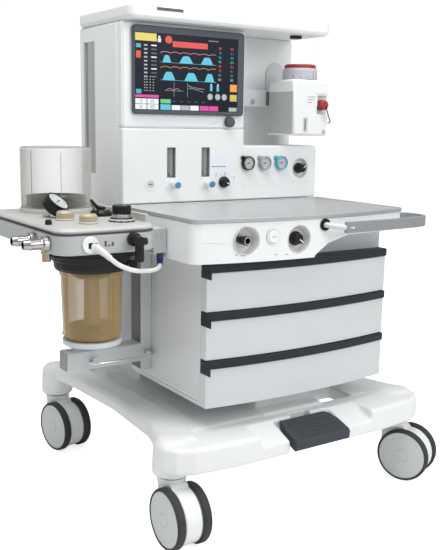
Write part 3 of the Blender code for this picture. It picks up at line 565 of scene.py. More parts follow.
# ---- base -----------------------------------------------------------------------
def base_casting():
    """The CAD base as one softened casting, without the flat facets of its hulls."""
    held = bpy.data.meshes.new("base")
    bm = refined("base_frame", 0.0)
    bmesh.ops.triangulate(bm, faces=bm.faces)
    bm.to_mesh(held)
    bm.free()
    obj = placed("base_draft", held)
    remesh = obj.modifiers.new("cast", "REMESH")
    remesh.mode = "VOXEL"
    remesh.voxel_size = 0.0036
    soften = obj.modifiers.new("soften", "SMOOTH")
    soften.factor = 0.6
    soften.iterations = 7
    graph = bpy.context.evaluated_depsgraph_get()
    bm = bmesh.new()
    bm.from_mesh(bpy.data.meshes.new_from_object(obj.evaluated_get(graph)))
    bpy.data.objects.remove(obj)
    one("base_casting", bm, "cast", "machine", "base_frame", at=(0, 0, 0), smooth=60)


base_casting()
dress("brake_pedal", "pedal", 0.0012)

WHEEL_R, HOOD_HALF, WHEEL_W, TRAIL, BASE_Z = 0.075, 0.0238, 0.024, 0.044, 0.169


def caster(key):
    """A swivel hood with its twin wheels, turned the way the frame's joints stand."""
    joints = {j["name"]: j for j in frame["joints"]}
    pivot = Vector(joints["swivel_" + key]["pos_m"]) - ORIGIN
    axle = Vector(joints["roll_" + key]["axis"])
    turn = -Vector((1, 0)).angle_signed(axle.to_2d())
    place = Matrix.Translation((pivot.x, pivot.y, 0)) @ Matrix.Rotation(turn, 4, "Z")
    hub = (0, -TRAIL, WHEEL_R)
    w = HOOD_HALF
    hood = Piece()
    hood.put(lathe([(0, -w), (0.066, -w), (0.069, -w + 0.004), (0.069, w - 0.004), (0.066, w), (0, w)], "X",
        hub, soft=0.002, segments=72), "cast", place)
    arch = fillet([(-0.06, 0.1), (-0.06, 0.128), (-0.036, 0.1545), (0.022, 0.1545), (0.0285, 0.146),
        (0.0285, 0.096)], 0.01)
    hood.put(slab(arch, -w + 0.0004, w - 0.0004, "X", soft=0.003), "cast", place)
    hood.put(lathe([(0, 0.15), (0.0355, 0.15), (0.0355, BASE_Z - 0.0003), (0.0115, BASE_Z - 0.0003),
        (0.011, 0.209), (0, 0.21)], soft=0.0015), "cast", place)
    hood.put(band(0.03, 0.0362, 0.164, 0.1668, soft=0.0006), "seam", place)
    hood.make("hood_" + key, "caster_" + key, "caster_%s_hood" % key)
    wheels = Piece()
    for side in (-1, 1):
        inner, outer = side * (w + 0.0005), side * (w + WHEEL_W)
        tyre = [(0.067, inner), (WHEEL_R - 0.004, inner), (WHEEL_R, inner + side * 0.004),
            (WHEEL_R, outer - side * 0.006), (WHEEL_R - 0.003, outer - side * 0.001), (0.0695, outer),
            (0.067, outer - side * 0.003)]
        wheels.put(lathe(tyre, "X", hub, soft=0.0015, segments=80, ring=True), "tyre", place)
        face = outer - side * 0.0016
        plate = [(0, inner + side * 0.001), (0.0682, inner + side * 0.001), (0.0682, face - side * 0.0012),
            (0.0655, face), (0.056, face + side * 0.0002), (0.0552, face - side * 0.0006),
            (0.0535, face - side * 0.0006), (0.0527, face + side * 0.0002), (0.02, face + side * 0.0006),
            (0.0185, face - side * 0.0008), (0.016, face - side * 0.0008), (0.0152, face + side * 0.0008),
            (0, face + side * 0.0012)]
        wheels.put(lathe(plate, "X", hub, soft=0.0006, segments=72), "disc", place)
    wheels.put(disc(0.0075, -w - 0.002, w + 0.002, "X", hub, segments=24), "satin", place)
    wheels.make("wheels_pair_" + key, "wheels_" + key, "caster_%s_wheels" % key)


for key in ("fl", "fr", "bl", "br"):
    caster(key)

# ---- cabinet and drawers --------------------------------------------------------
CAB_LOW, CAB_HIGH = spot("cabinet_shell")
# the cabinet is drawn in the darker white, as painted shade
dress("cabinet_shell", "shaded_cabinet_white", 0.0018)
for n in (1, 2, 3):
    dress("drawer_%d" % n, "drawer", 0.0014)
    dress("drawer_%d_grip" % n, "slate", 0.0012, segments=2)
    grip_low = spot("drawer_%d_grip" % n)[0]
    tail = block(grip_low.x - 0.001, grip_low.x + 0.001, -0.383, -0.338, grip_low.z - 0.014,
        grip_low.z + 0.004, 0.0004)
    one("drawer_%d_strip_tail" % n, tail, "slate", "drawer_%d" % n)

trim = Piece()
for side in (-1, 1):
    x = side * (CAB_HIGH.x + 0.0003)
    for thick, low, high, look in ((0.0008, 0.013, 0.017, "shell"), (0.0003, 0.011, 0.013, "seam")):
        trim.put(block(x, x + side * thick, -0.325, -0.035, CAB_LOW.z + low, CAB_LOW.z + high), look)
trim.make("cabinet_side_trim", "machine")

# ---- console, worktop, handle ---------------------------------------------------
DESK_MID, DESK_BOW = -0.42, 0.36


def desk_front(x):
    """Where the face of the console lies at x."""
    return DESK_MID + 0.004 + DESK_BOW * x * x


dress("console_housing", "shell", 0.0022)
dress("worktop_plate", "desk", 0.0012)

DISH_A, DISH_B, BUTTON = (-0.206, 0.733), (-0.056, 0.73), (-0.132, 0.74)
dishes = Piece()
bowl = [(0.0112, -0.0216), (0.0293, -0.0216), (0.0345, 0.0005), (0.0352, 0.0004), (0.03, -0.0219),
    (0.0112, -0.0219)]
for x, z in (DISH_A, DISH_B):
    dishes.put(lathe(bowl, "-Y", (x, desk_front(x), z), ring=True, segments=72), "scoop")
dishes.make("dish_liners", "machine")

x, z = DISH_A
at = (x, desk_front(x) + 0.0216, z)
outlet = Piece()
outlet.put(disc(0.0195, 0.0002, 0.0022, "-Y", at, soft=0.0006), "satin")
outlet.put(band(0.0078, 0.0115, 0.0005, 0.025, "-Y", at, soft=0.0012), "black")
outlet.put(band(0.0074, 0.0098, 0.01, 0.0258, "-Y", at, soft=0.0006), "satin")
outlet.put(disc(0.0076, 0.0004, 0.004, "-Y", at), "rubber")
outlet.make("fresh_gas_outlet", "machine", "gas_outlet")

x, z = BUTTON
at = (x, desk_front(x), z)
button = Piece()
button.put(lathe([(0, -0.028), (0.004, -0.028), (0.004, -0.004), (0.016, -0.004), (0.016, 0.0024),
    (0.0125, 0.0034), (0, 0.0018)], "-Y", at, soft=0.001), "shell")
for dx in (-0.0035, 0.003):
    button.put(band(0.0012, 0.002, 0.0018, 0.0026, "-Y", (x + dx, at[1], z), segments=20), "line")
button.make("flush_cap", "flush", "flush_button")
ring = Piece()
ring.put(band(0.017, 0.0205, -0.0004, 0.001, "-Y", at, soft=0.0005), "shell")
ring.put(band(0.0205, 0.0209, -0.0004, 0.0004, "-Y", at), "line")
ring.make("flush_bezel", "machine")


def pointer_knob(name, body, node, at, r, height, angle, base=0.0, look="black", mark="shell"):
    """A tapered knob with a raised finger bar and a light pointer line, turned to an angle."""
    knob = Piece()
    knob.put(lathe([(0, base), (r, base), (r, base + 0.34 * height), (0.8 * r, base + 0.5 * height),
        (0.72 * r, height), (0, height)], "-Y", at, soft=0.0014, segments=72, ribs=24, rib=0.0005), look)
    bar = fillet([(-0.24 * r, -0.92 * r), (0.24 * r, -0.92 * r), (0.17 * r, 0.98 * r),
        (-0.17 * r, 0.98 * r)], 0.0012)
    fin = slab([(at[0] + a, at[2] + b) for a, b in bar], at[1] - height - 0.0002, at[1] - 0.45 * height,
        "Y", soft=0.001)
    knob.put(turned(fin, angle, "Y", at), look)
    line = block(at[0] - 0.0013, at[0] + 0.0013, at[1] - height - 0.0008, at[1] - height + 0.0006,
        at[2] + 0.1 * r, at[2] + 0.95 * r)
    knob.put(turned(line, angle, "Y", at), mark)
    return knob.make(name, body, node)


x, z = DISH_B
pointer_knob("console_selector_knob", "console_selector", "console_knob", (x, desk_front(x) + 0.022, z),
    0.018, 0.0218, 128, base=0.0008)

marks = Piece()
for x, z in ((-0.232, 0.7), (-0.214, 0.698), (-0.124, 0.6955), (-0.093, 0.694), (-0.056, 0.697)):
    y = desk_front(x)
    marks.put(block(x - 0.0042, x + 0.0042, y - 0.0004, y + 0.001, z - 0.0009, z + 0.0009), "line")
marks.make("console_marks", "machine")

bar_mid = [(0.06, -0.455), (0.15, -0.453), (0.25, -0.45), (0.325, -0.444), (0.36, -0.433), (0.381, -0.41),
    (0.385, -0.38), (0.378, -0.345), (0.362, -0.329), (0.3446, -0.3235)]
path = [p.to_2d() for p in curve_through([(*p, 0) for p in bar_mid], 0.008)]
handle = Piece()
handle.put(slab(ribbon(path, 0.0055), 0.742, 0.771, soft=0.003), "handle")
rod = curve_through([(0.02, -0.408, 0.762), (0.029, -0.428, 0.761), (0.043, -0.443, 0.7585),
    (0.062, -0.452, 0.7565), (0.085, -0.4535, 0.756)], 0.004)
handle.put(pipe(rod, 0.0072, 24), "pale")
handle.put(band(0.0085, 0.015, -0.003, 0.006, "-Y", (0.0235, desk_front(0.0235), 0.762), soft=0.0018),
    "rubber")
handle.put(disc(0.0125, -0.001, 0.003, "X", (0.3432, -0.3235, 0.7565), soft=0.001), "rubber")
handle.make("push_bar", "machine", "push_handle")

# ---- tower ----------------------------------------------------------------------
TOWER_HIGH = spot("tower_housing")[1]
for node in ("tower_housing", "display_panel", "gauge_panel"):
    dress(node, "shell", 0.002)
dress("canopy", "shell", 0.0028, limit=25)
dress("side_rail", "rail", 0.0008)

rail = Piece()
RAIL_LOW, RAIL_HIGH = spot("side_rail")
rail.put(block(RAIL_LOW.x - 0.0002, RAIL_LOW.x + 0.0016, 0.215, 0.2175, RAIL_LOW.z + 0.002,
    RAIL_HIGH.z - 0.002), "satin")
rail.put(block(RAIL_LOW.x - 0.0001, RAIL_LOW.x + 0.0014, 0.185, 0.1868, RAIL_LOW.z + 0.002,
    RAIL_HIGH.z - 0.002), "seam")
rail.put(disc(0.0032, 0.0, 0.0012, "-X", (RAIL_LOW.x + 0.0004, 0.196, 0.973), segments=24), "satin")
rail.make("rail_lines", "machine")

bay = Piece()
# painted shadow: a thin pale-grey half disc on the wing wall, standing in for a shadow that falls there
painted_shadow_disc = [(0.27 + 0.036 * cos(radians(a)), 1.165 + 0.036 * sin(radians(a))) for a in range(0, 181, 12)]
painted_shadow_disc = [(0.306, 1.112)] + painted_shadow_disc + [(0.234, 1.112)]
bay.put(slab(painted_shadow_disc, 0.135, 0.1404, "Y", soft=0.0012), "pale")
bay.put(block(0.194, 0.218, 0.079, 0.0812, 1.066, 1.108), "seam")
bay.put(lathe([(0, 0), (0.008, 0), (0.007, 0.005), (0, 0.0055)], "-Y", (0.144, 0.0802, 1.077), soft=0.001,
    segments=32), "line")
canopy_low = spot("canopy")[0]
bay.put(block(0.235, 0.264, 0.0, 0.024, canopy_low.z - 0.009, canopy_low.z + 0.001, 0.002), "black")
bay.put(block(0.0645, 0.1935, 0.0788, 0.0802, 1.064, 1.11, 0.0004), "pale")
bay.make("bay_details_and_painted_shadow", "machine")

seams = Piece()
for side in (-1, 1):
    edge = side * TOWER_HIGH.x
    seams.put(block(edge, edge + side * 0.0002, 0.03, 0.0307, 0.79, 1.27), "patch")
for z in (0.35, 0.774, 1.266):
    seams.put(block(-0.322, 0.322, TOWER_HIGH.y, TOWER_HIGH.y + 0.0004, z - 0.0006, z + 0.0006), "seam")
for x in (-0.322, 0.322):
    seams.put(block(x - 0.0006, x + 0.0006, TOWER_HIGH.y, TOWER_HIGH.y + 0.0004, 0.35, 1.266), "seam")
for x in (-0.31, 0.0, 0.31):
    for z in (0.364, 0.76, 0.788, 1.252):
        seams.put(disc(0.0042, -0.001, 0.0016, "Y", (x, TOWER_HIGH.y, z), soft=0.0008, segments=24),
            "satin")
        seams.put(block(x - 0.003, x + 0.003, TOWER_HIGH.y + 0.0012, TOWER_HIGH.y + 0.0018, z - 0.0005,
            z + 0.0005), "ink")
seams.put(block(-0.26, -0.18, canopy_low.y - 0.0004, canopy_low.y + 0.02, 1.296, 1.304), "ink")
seams.make("tower_seams", "machine")

# ---- display --------------------------------------------------------------------
dress("display_unit", "bezel", 0.0004, segments=2)
SCREEN_X, SCREEN_Z, SCREEN_Y = (-0.304, 0.025), (1.042, 1.244), -0.0105
SCREEN_W, SCREEN_H = SCREEN_X[1] - SCREEN_X[0], SCREEN_Z[1] - SCREEN_Z[0]
screen = Piece()
screen.put(block(SCREEN_X[0] + 0.0006, SCREEN_X[1] - 0.0006, SCREEN_Y - 0.0003, SCREEN_Y + 0.001,
    SCREEN_Z[0] + 0.0006, SCREEN_Z[1] - 0.0006), "screen")


def on_screen(u, v):
    """Screen places run 0 to 1 to the right and 0 to 1 down."""
    return SCREEN_X[0] + SCREEN_W * u, SCREEN_Z[1] - SCREEN_H * v


def patch(u0, u1, v0, v1, colour, soft=0.0):
    """A lit rectangle of the screen."""
    (x0, z1), (x1, z0) = on_screen(u0, v0), on_screen(u1, v1)
    outline = [(x0, z0), (x1, z0), (x1, z1), (x0, z1)]
    if soft:
        outline = fillet(outline, soft)
    screen.put(slab(outline, SCREEN_Y - 0.0005, SCREEN_Y - 0.0002, "Y"), "lit_" + colour)


def trace(points, width, colour):
    """A drawn line: a thin ribbon through screen places."""
    strip = ribbon([Vector(on_screen(*p)) for p in points], width / 2)
    screen.put(slab(strip, SCREEN_Y - 0.0006, SCREEN_Y - 0.0002, "Y"), "lit_" + colour)


DIGIT_BARS = {"0": "abcdef", "1": "bc", "2": "abged", "3": "abgcd", "4": "fgbc", "5": "afgcd",
    "6": "afgedc", "7": "abc", "8": "abcdefg", "9": "abcdfg"}
BAR_AT = {"a": (0, 1, 0, 0.14), "g": (0, 1, 0.43, 0.57), "d": (0, 1, 0.86, 1), "f": (0, 0.24, 0, 0.5),
    "b": (0.76, 1, 0, 0.5), "e": (0, 0.24, 0.5, 1), "c": (0.76, 1, 0.5, 1)}


def number(text, u, v, width, height, colour):
    """Figures of seven bars, as stand-ins for the screen's readings."""
    for k, digit in enumerate(text):
        for bar in DIGIT_BARS[digit]:
            a, b, c, d = BAR_AT[bar]
            left_edge = u + k * width * 1.35
            patch(left_edge + a * width, left_edge + b * width, v + c * height, v + d * height, colour)


patch(0.005, 0.2, 0.012, 0.11, "yellow", 0.001)
patch(0.215, 0.235, 0.035, 0.06, "white", 0.001)
patch(0.21, 0.24, 0.065, 0.115, "white", 0.001)
patch(0.28, 0.345, 0.025, 0.125, "red", 0.01)
patch(0.35, 0.69, 0.09, 0.165, "red", 0.001)
patch(0.012, 0.055, 0.15, 0.2, "aqua")
patch(0.012, 0.055, 0.24, 0.33, "red")
for k in range(9):
    patch(0.085, 0.115, 0.155 + 0.05 * k, 0.175 + 0.05 * k, "grey")
    patch(0.15, 0.2, 0.155 + 0.05 * k, 0.172 + 0.05 * k, "dim" if k % 3 else "white")
for top, height, colour in ((0.225, 0.045, "pink"), (0.415, 0.05, "orange")):
    wave = [(0.235 + 0.0125 * k, top + height * (0.55 - 0.45 * abs(sin(0.42 * k)) ** 0.7))
        for k in range(44)]
    trace(wave, 0.0011, colour)
for top, low, humps in ((0.275, 0.37, ((0.27, 0.32), (0.43, 0.53), (0.64, 0.73))),
        (0.49, 0.6, ((0.27, 0.36), (0.48, 0.58), (0.68, 0.745)))):
    trace([(0.235, low), (0.78, low)], 0.0008, "cyan")
    for u0, u1 in humps:
        arc = [(u0 - 0.016 + (u1 - u0 + 0.032) * k / 12, low - (low - top) * min(1.0,
            1.25 * sin(pi * k / 12))) for k in range(13)]
        screen.put(slab([on_screen(*p) for p in arc], SCREEN_Y - 0.0006, SCREEN_Y - 0.0002, "Y"),
            "lit_cyan")
trace([(0.365, 0.625), (0.365, 0.815)], 0.0007, "grey")
trace([(0.275, 0.735), (0.455, 0.735)], 0.0007, "grey")
trace([(0.29 + 0.012 * k, 0.735 - 0.03 * abs(sin(0.55 * k))) for k in range(12)], 0.0009, "pink")
trace([(0.495, 0.625), (0.495, 0.815)], 0.0007, "grey")
trace([(0.495, 0.7), (0.665, 0.7)], 0.0007, "grey")
for slope in (0.045, 0.085):
    trace([(0.5 + 0.013 * k, 0.655 + slope * (k / 12) ** 0.6) for k in range(13)], 0.0007, "grey")
for k in range(6):
    patch(0.7 + 0.017 * k, 0.711 + 0.017 * k, 0.045, 0.056, "grey")
for column in (0.085, 0.105, 0.135, 0.165):
    for k in range(6):
        patch(column, column + 0.011, 0.56 + 0.036 * k, 0.571 + 0.036 * k, "grey" if (k + column * 100) % 3
            else "white")
for k in range(5):
    patch(0.35 + 0.072 * k, 0.38 + 0.072 * k, 0.872, 0.88, "dim")
patch(0.012, 0.06, 0.73, 0.785, "aqua")
patch(0.005, 0.22, 0.8, 0.835, "magenta")
for k in range(2):
    for j in range(2):
        patch(0.005 + 0.11 * k, 0.108 + 0.11 * k, 0.85 + 0.072 * j, 0.916 + 0.072 * j, "white")
        number(("42", "12", "20", "60")[2 * k + j], 0.035 + 0.11 * k, 0.862 + 0.072 * j, 0.014, 0.04, "dim")
patch(0.237, 0.333, 0.85, 0.905, "green")
patch(0.237, 0.333, 0.918, 0.99, "cyan")
for k in range(3):
    patch(0.343 + 0.09 * k, 0.427 + 0.09 * k, 0.926, 0.99, "white" if k != 1 else "grey")
for k in range(2):
    patch(0.618 + 0.095 * k, 0.708 + 0.095 * k, 0.926, 0.99, "magenta")
patch(0.913, 0.995, 0.937, 0.99, "grey")
patch(0.923, 0.993, 0.62, 0.72, "orange")
patch(0.923, 0.993, 0.76, 0.85, "gold")
for u in (0.72, 0.797, 0.865):
    patch(u - 0.026, u + 0.026, 0.755, 0.84, "grey", 0.008)
for u in (0.73, 0.797):
    patch(u - 0.012, u + 0.012, 0.645, 0.72, "cyan")
    patch(u - 0.006, u + 0.006, 0.622, 0.645, "white")
for k, (text, colour) in enumerate((("38", "red"), ("16", "teal"), ("98", "teal"), ("42", "green"),
        ("35", "red"), ("12", "red"), ("20", "teal"), ("60", "grey"))):
    number(text, 0.8, 0.125 + 0.06 * k, 0.012, 0.03, colour)
    number(text[::-1], 0.925, 0.125 + 0.06 * k, 0.012, 0.03, "teal" if k in (2, 5, 6) else colour)
screen.make("screen", "machine")

knob = Piece()
KNOB_AT = behind("display_knob")
knob.put(lathe([(0, 0), (0.015, 0), (0.015, 0.011), (0.0132, 0.0148), (0, 0.0138)], "-Y", KNOB_AT,
    soft=0.0015, segments=96, ribs=24, rib=0.0006), "bezel")
knob.put(disc(0.01, 0.013, 0.015, "-Y", KNOB_AT, soft=0.0006), "bezel")
knob.make("control_wheel_knob", "control_wheel", "display_knob")

# ---- gauges and flow controls ---------------------------------------------------
GAUGE_R = 0.0205


def gauge_face(piece, r, place, needle, look_rim, depth, face="face"):
    """Rim, dial face with ticks, needle and glass, looking along -Y before place turns it."""
    at = (0, 0, 0)
    piece.put(lathe([(0.84 * r, -0.0005), (r, -0.0005), (r, depth - 0.003), (0.96 * r, depth),
        (0.88 * r, depth), (0.84 * r, depth - 0.003)], "-Y", at, soft=0.0008, segments=72, ring=True),
        look_rim, place)
    piece.put(disc(0.86 * r, 0.0, 0.55 * depth, "-Y", at), face, place)
    y = -0.55 * depth
    for k in range(11):
        long = k % 5 == 0
        half, start = (0.0008, 0.52) if long else (0.00045, 0.6)
        tick = block(-half, half, y - 0.0004, y + 0.0004, start * r, 0.72 * r)
        piece.put(turned(tick, -130 + 26 * k, "Y", at), "ink", place)
    hand = slab([(-0.0011, -0.22 * r), (0.0011, -0.22 * r), (0.0005, 0.6 * r), (-0.0005, 0.6 * r)],
        y - 0.0012, y - 0.0007, "Y")
    piece.put(turned(hand, needle, "Y", at), "black", place)
    piece.put(disc(0.0022, 0.5 * depth, 0.5 * depth + 0.0026, "-Y", at, segments=24), "black", place)
    piece.put(disc(0.85 * r, depth - 0.0018, depth - 0.001, "-Y", at, segments=48), "glass", place)


for n, look in enumerate(("black", "line", "cyan_rim"), 1):
    centre = behind("pressure_gauge_%d" % n)
    gauge = Piece()
    gauge_face(gauge, GAUGE_R, Matrix.Translation(centre), -128 + 12 * n, look, 0.0138)
    gauge.put(lathe([(0, 0), (0.0062, 0), (0.0062, 0.005), (0.005, 0.0065), (0, 0.0065)], "-Y",
        centre + Vector((-0.0172, 0, 0.0158)), soft=0.001, segments=32), look)
    gauge.make("supply_gauge_%d" % n, "machine", "pressure_gauge_%d" % n)

FLOW_X, WINDOW_Z = (-0.1845, -0.072), (0.859, 0.942)
flows = Piece()
for n, x in enumerate(FLOW_X):
    x0, x1 = x - 0.0134, x + 0.0134
    z0, z1 = WINDOW_Z[0] + 0.0001, WINDOW_Z[1] - 0.0001
    flows.put(block(x0, x1, 0.0105, 0.0119, z0, z1), "window")
    for xa, xb, za, zb in ((x0, x0 + 0.0012, z0, z1), (x1 - 0.0012, x1, z0, z1), (x0, x1, z1 - 0.001, z1),
            (x0, x1, z0, z0 + 0.001)):
        flows.put(block(xa, xb, 0.001, 0.0106, za, zb), "window")
    flows.put(disc(0.0042, 0.861, 0.94, "Z", (x, 0.0058, 0), segments=32), "glass")
    flows.put(lathe([(0, 0), (0.0012, 0.001), (0.003, 0.006), (0.003, 0.0075), (0, 0.0075)], "Z",
        (x, 0.0058, 0.864 + 0.003 * n), segments=24), "satin")
    for k in range(13):
        reach = 0.005 if k % 4 == 0 else 0.003
        z = 0.869 + 0.0056 * k
        flows.put(block(x + 0.0052, x + 0.0052 + reach, 0.01, 0.0107, z - 0.0003, z + 0.0003), "shell")
flows.make("flow_tubes", "machine")

for n, (x, look) in enumerate(zip((-0.179, -0.066), ("blue", "teal")), 1):
    at = (x, -0.0004, 0.84)
    knob = Piece()
    knob.put(lathe([(0, 0), (0.008, 0), (0.008, 0.006), (0.0103, 0.009), (0.0103, 0.0262), (0, 0.0262)],
        "-Y", at, soft=0.0008, segments=96, ribs=24, rib=0.0006), "shell")
    knob.put(lathe([(0, 0.0256), (0.0092, 0.0256), (0.0092, 0.0288), (0.0078, 0.0303), (0, 0.0299)], "-Y",
        at, soft=0.0008), look)
    knob.make("flow_control_%d" % n, "flow_%d" % n, "flow_knob_%d" % n)

pointer_knob("gas_selector_knob", "gas_selector", "selector_knob", (-0.011, -0.0004, 0.843), 0.0165, 0.0176,
    118)
x, z = 0.272, 0.879
dish = Piece()
bowl = [(0.0165, -0.0117), (0.0256, -0.0117), (0.0298, 0.0004), (0.0304, 0.0003), (0.026, -0.0119),
    (0.0165, -0.0119)]
dish.put(lathe(bowl, "-Y", (x, 0, z), ring=True, segments=72), "scoop")
dish.make("suction_dish", "machine")
pointer_knob("suction_control_knob", "suction", "suction_knob", (x, 0.0117, z), 0.016, 0.028, 50)

panel = Piece()
panel.put(plaque(-0.058, 0.0195, 0.8545, 0.921, 0.002, -0.0003, 0.001), "patch")
for x in (0.073, 0.134, 0.196):
    panel.put(disc(0.0215, -0.001, 0.0005, "-Y", (x, 0, 0.846), soft=0.0003, segments=48), "shell")
    panel.put(band(0.0215, 0.0219, -0.001, 0.0002, "-Y", (x, 0, 0.846)), "patch")
panel.put(band(0.012, 0.017, -0.001, 0.0012, "-Y", (-0.2507, 0, 0.842), soft=0.0005), "shell")
panel.put(disc(0.012, -0.002, 0.0008, "-Y", (-0.2507, 0, 0.842)), "pale")
for dx in (-0.003, 0.0036):
    panel.put(disc(0.0024, -0.001, 0.0016, "-Y", (-0.2507 + dx, 0, 0.842), segments=20), "ink")
for k in range(4):
    panel.put(block(-0.052 + 0.0125 * k, -0.042 + 0.0125 * k, -0.0006, 0.0005, 0.887, 0.889), "ink")
for x, z in ((-0.0365, 0.866), (-0.0054, 0.868)):
    panel.put(band(0.0012, 0.0022, -0.001, 0.0004, "-Y", (x, 0, z), segments=20), "ink")
    panel.put(block(x - 0.003, x + 0.003, -0.0004, 0.0005, z - 0.006, z - 0.0046), "ink")
panel.put(plaque(0.0235, 0.03, 0.837, 0.859, 0.002, -0.0012, 0.001, soft=0.0004), "shell")
panel.put(block(0.025, 0.0285, -0.0016, -0.0008, 0.855, 0.8575), "ink")
for x in (0.25, 0.302):
    panel.put(block(x - 0.003, x + 0.003, -0.0004, 0.0005, 0.837, 0.8385), "line")
for k in range(4):
    panel.put(block(-0.053 + 0.006 * k, -0.0505 + 0.006 * k, -0.0004, 0.0005, 1.008 + 0.004 * (k % 2),
        1.01 + 0.004 * (k % 2)), "line")
panel.make("panel_marks", "machine")

# ---- vaporizer ------------------------------------------------------------------
dress("vaporizer_body", "shell", 0.0022)
VAP_LOW, VAP_HIGH = spot("vaporizer_body")
front = VAP_LOW.y
vap = Piece()
vap.put(plaque(0.232, 0.251, 0.989, 1.033, 0.004, front - 0.0008, front + 0.002, soft=0.0005), "pale")
vap.put(plaque(0.237, 0.244, 0.993, 1.029, 0.003, front - 0.0012, front), "window")
vap.put(plaque(0.242, 0.285, 1.064, 1.1005, 0.003, front - 0.0005, front + 0.001, soft=0.0003), "shell")
for k, z in enumerate((1.092, 1.084, 1.076)):
    vap.put(block(0.248, 0.276 - 0.006 * k, front - 0.0008, front, z - 0.0011, z + 0.0011), "line")
vap.put(band(0.0045, 0.0058, -0.001, 0.0006, "-Y", (0.312, front, 0.99), segments=28), "ink")
vap.put(disc(0.0016, -0.001, 0.0006, "-Y", (0.312, front, 0.99), segments=20), "ink")
side_x = VAP_LOW.x
# painted shade: a grey sheet over the vaporizer's white left side, standing in for the shade that side is in
vap.put(block(side_x - 0.0004, side_x + 0.002, front + 0.004, VAP_HIGH.y - 0.016, VAP_LOW.z + 0.004, 1.106),
    "shade")
vap.put(block(side_x - 0.0016, side_x + 0.002, front + 0.003, VAP_HIGH.y - 0.014, VAP_LOW.z + 0.0006,
    VAP_LOW.z + 0.005, 0.0004), "shell")
vap.put(plaque(0.272, 0.32, 1.099, 1.104, 0.001, front - 0.0003, front + 0.001), "pale")
CAP = behind("filler_cap")
vap.put(block(0.2856, 0.329, CAP.y - 0.0005, CAP.y + 0.0004, 1.0426, 1.0954), "pale")
vap.put(band(0.01, 0.0165, -0.0005, 0.002, "-Y", CAP, soft=0.0006), "seam")
vap.make("vaporizer_details", "machine")
cap = Piece()
cap.put(lathe([(0, 0.0022), (0.0148, 0.0022), (0.015, 0.02), (0.0128, 0.0258), (0, 0.025)], "-Y", CAP,
    soft=0.0014, segments=96, ribs=16, rib=0.0012), "red")
cap.make("filler_cap_red", "filler", "filler_cap")
dial_low, dial_high = spot("vaporizer_dial")
DIAL = Vector(((dial_low.x + dial_high.x) / 2, (dial_low.y + dial_high.y) / 2, dial_low.z))
dial = Piece()
dial.put(lathe([(0, 0), (0.051, 0), (0.0522, 0.003), (0.052, 0.0265), (0.0495, 0.0325), (0.047, 0.034),
    (0, 0.034)], "Z", DIAL, soft=0.002, segments=180, ribs=45, rib=0.0008), "lilac")
dial.put(lathe([(0, 0.033), (0.0474, 0.033), (0.0476, 0.0405), (0.045, 0.0446), (0, 0.0446)], "Z", DIAL,
    soft=0.0018, segments=96), "red")
dial.put(lathe([(0, 0.044), (0.038, 0.044), (0.037, 0.0449), (0, 0.0448)], "Z", DIAL, segments=96), "shell")
for k in range(12):
    mark = block(-0.0005, 0.0005, -0.0524, -0.0514, 0.004, 0.01 if k % 3 else 0.014)
    dial.put(mark, "ink", spun(DIAL, 24 * k - 60))
dial.make("vapor_dial_knob", "vapor_dial", "vaporizer_dial")

# ---- breathing system -----------------------------------------------------------
PLATE_TOP, BLOCK_LEFT = 0.7705, -0.6413
dress("breathing_block", "block", 0.0016)
dress("cover_plate", "plate", 0.0016)
plate_low, plate_high = spot("cover_plate")
plate_mid = (plate_low + plate_high) / 2 + ORIGIN
gasket = refined("cover_plate", 0.0)
flatten = Matrix.Diagonal((1.0012, 1.0012, 0.0013 / (plate_high.z - plate_low.z), 1.0))
bmesh.ops.transform(gasket, matrix=Matrix.Translation((plate_mid.x, plate_mid.y, plate_low.z + 0.0002))
    @ flatten @ Matrix.Translation(-plate_mid), verts=gasket.verts)
one("plate_gasket", gasket, "ink", "machine", at=(0, 0, 0))
DOME = Vector((-0.492, 0.082, 0.0))
DOME_R, DOME_Z0, DOME_Z1 = 0.0925, 0.785, 0.942
dome = Piece()
dome.put(lathe([(DOME_R - 0.0024, DOME_Z0 + 0.0006), (DOME_R, DOME_Z0 + 0.0006), (DOME_R, DOME_Z1 - 0.005),
    (DOME_R - 0.0014, DOME_Z1 - 0.0014), (DOME_R - 0.005, DOME_Z1), (0, DOME_Z1 + 0.0006),
    (0, DOME_Z1 - 0.0018), (DOME_R - 0.006, DOME_Z1 - 0.0024), (DOME_R - 0.0024, DOME_Z1 - 0.006)], "Z",
    DOME, segments=96, ring=True), "dome")
dome.make("dome_clear", "machine", "bellows_dome")
extras = Piece()
extras.put(band(0.086, 0.095, 0.7708, 0.7768, "Z", DOME, soft=0.0015, segments=96), "ink")
extras.put(band(0.086, 0.0932, 0.776, 0.7858, "Z", DOME, soft=0.001, segments=96), "ring_grey_and_end_shade")
dome_marks = [(0.006 if k % 2 else 0.01, 0.0006, 0.8175 + 0.014 * k, 0.8185 + 0.014 * k, "shell", -14)
    for k in range(8)]
dome_marks += [(0.0006, 0.0004, 0.805, 0.93, "line", -14), (0.0005, 0.0004, 0.79, 0.937, "ink", -64)]
for half, inside, z0, z1, look, angle in dome_marks:
    extras.put(block(-half, half, -DOME_R - 0.0003, -DOME_R + inside, z0, z1), look, spun(DOME, angle))
extras.put(band(DOME_R - 0.006, DOME_R - 0.0048, DOME_Z1 - 0.0004, DOME_Z1 + 0.0004, "Z", DOME,
    segments=96), "line")
extras.make("dome_ring_and_scale", "machine")
bellows = Piece()
profile = [(0, 0.7862)]
for k in range(4):
    z = 0.7868 + 0.0062 * k
    profile += [(0.073, z), (0.0795, z + 0.0026), (0.0798, z + 0.004)]
profile += [(0.076, 0.811), (0.0796, 0.8118), (0.079, 0.814), (0.06, 0.8138), (0.056, 0.811), (0, 0.811)]
bellows.put(lathe(profile, "Z", DOME, soft=0.0007, segments=96), "rubber")
bellows.make("bellows_folds", "machine", "bellows")

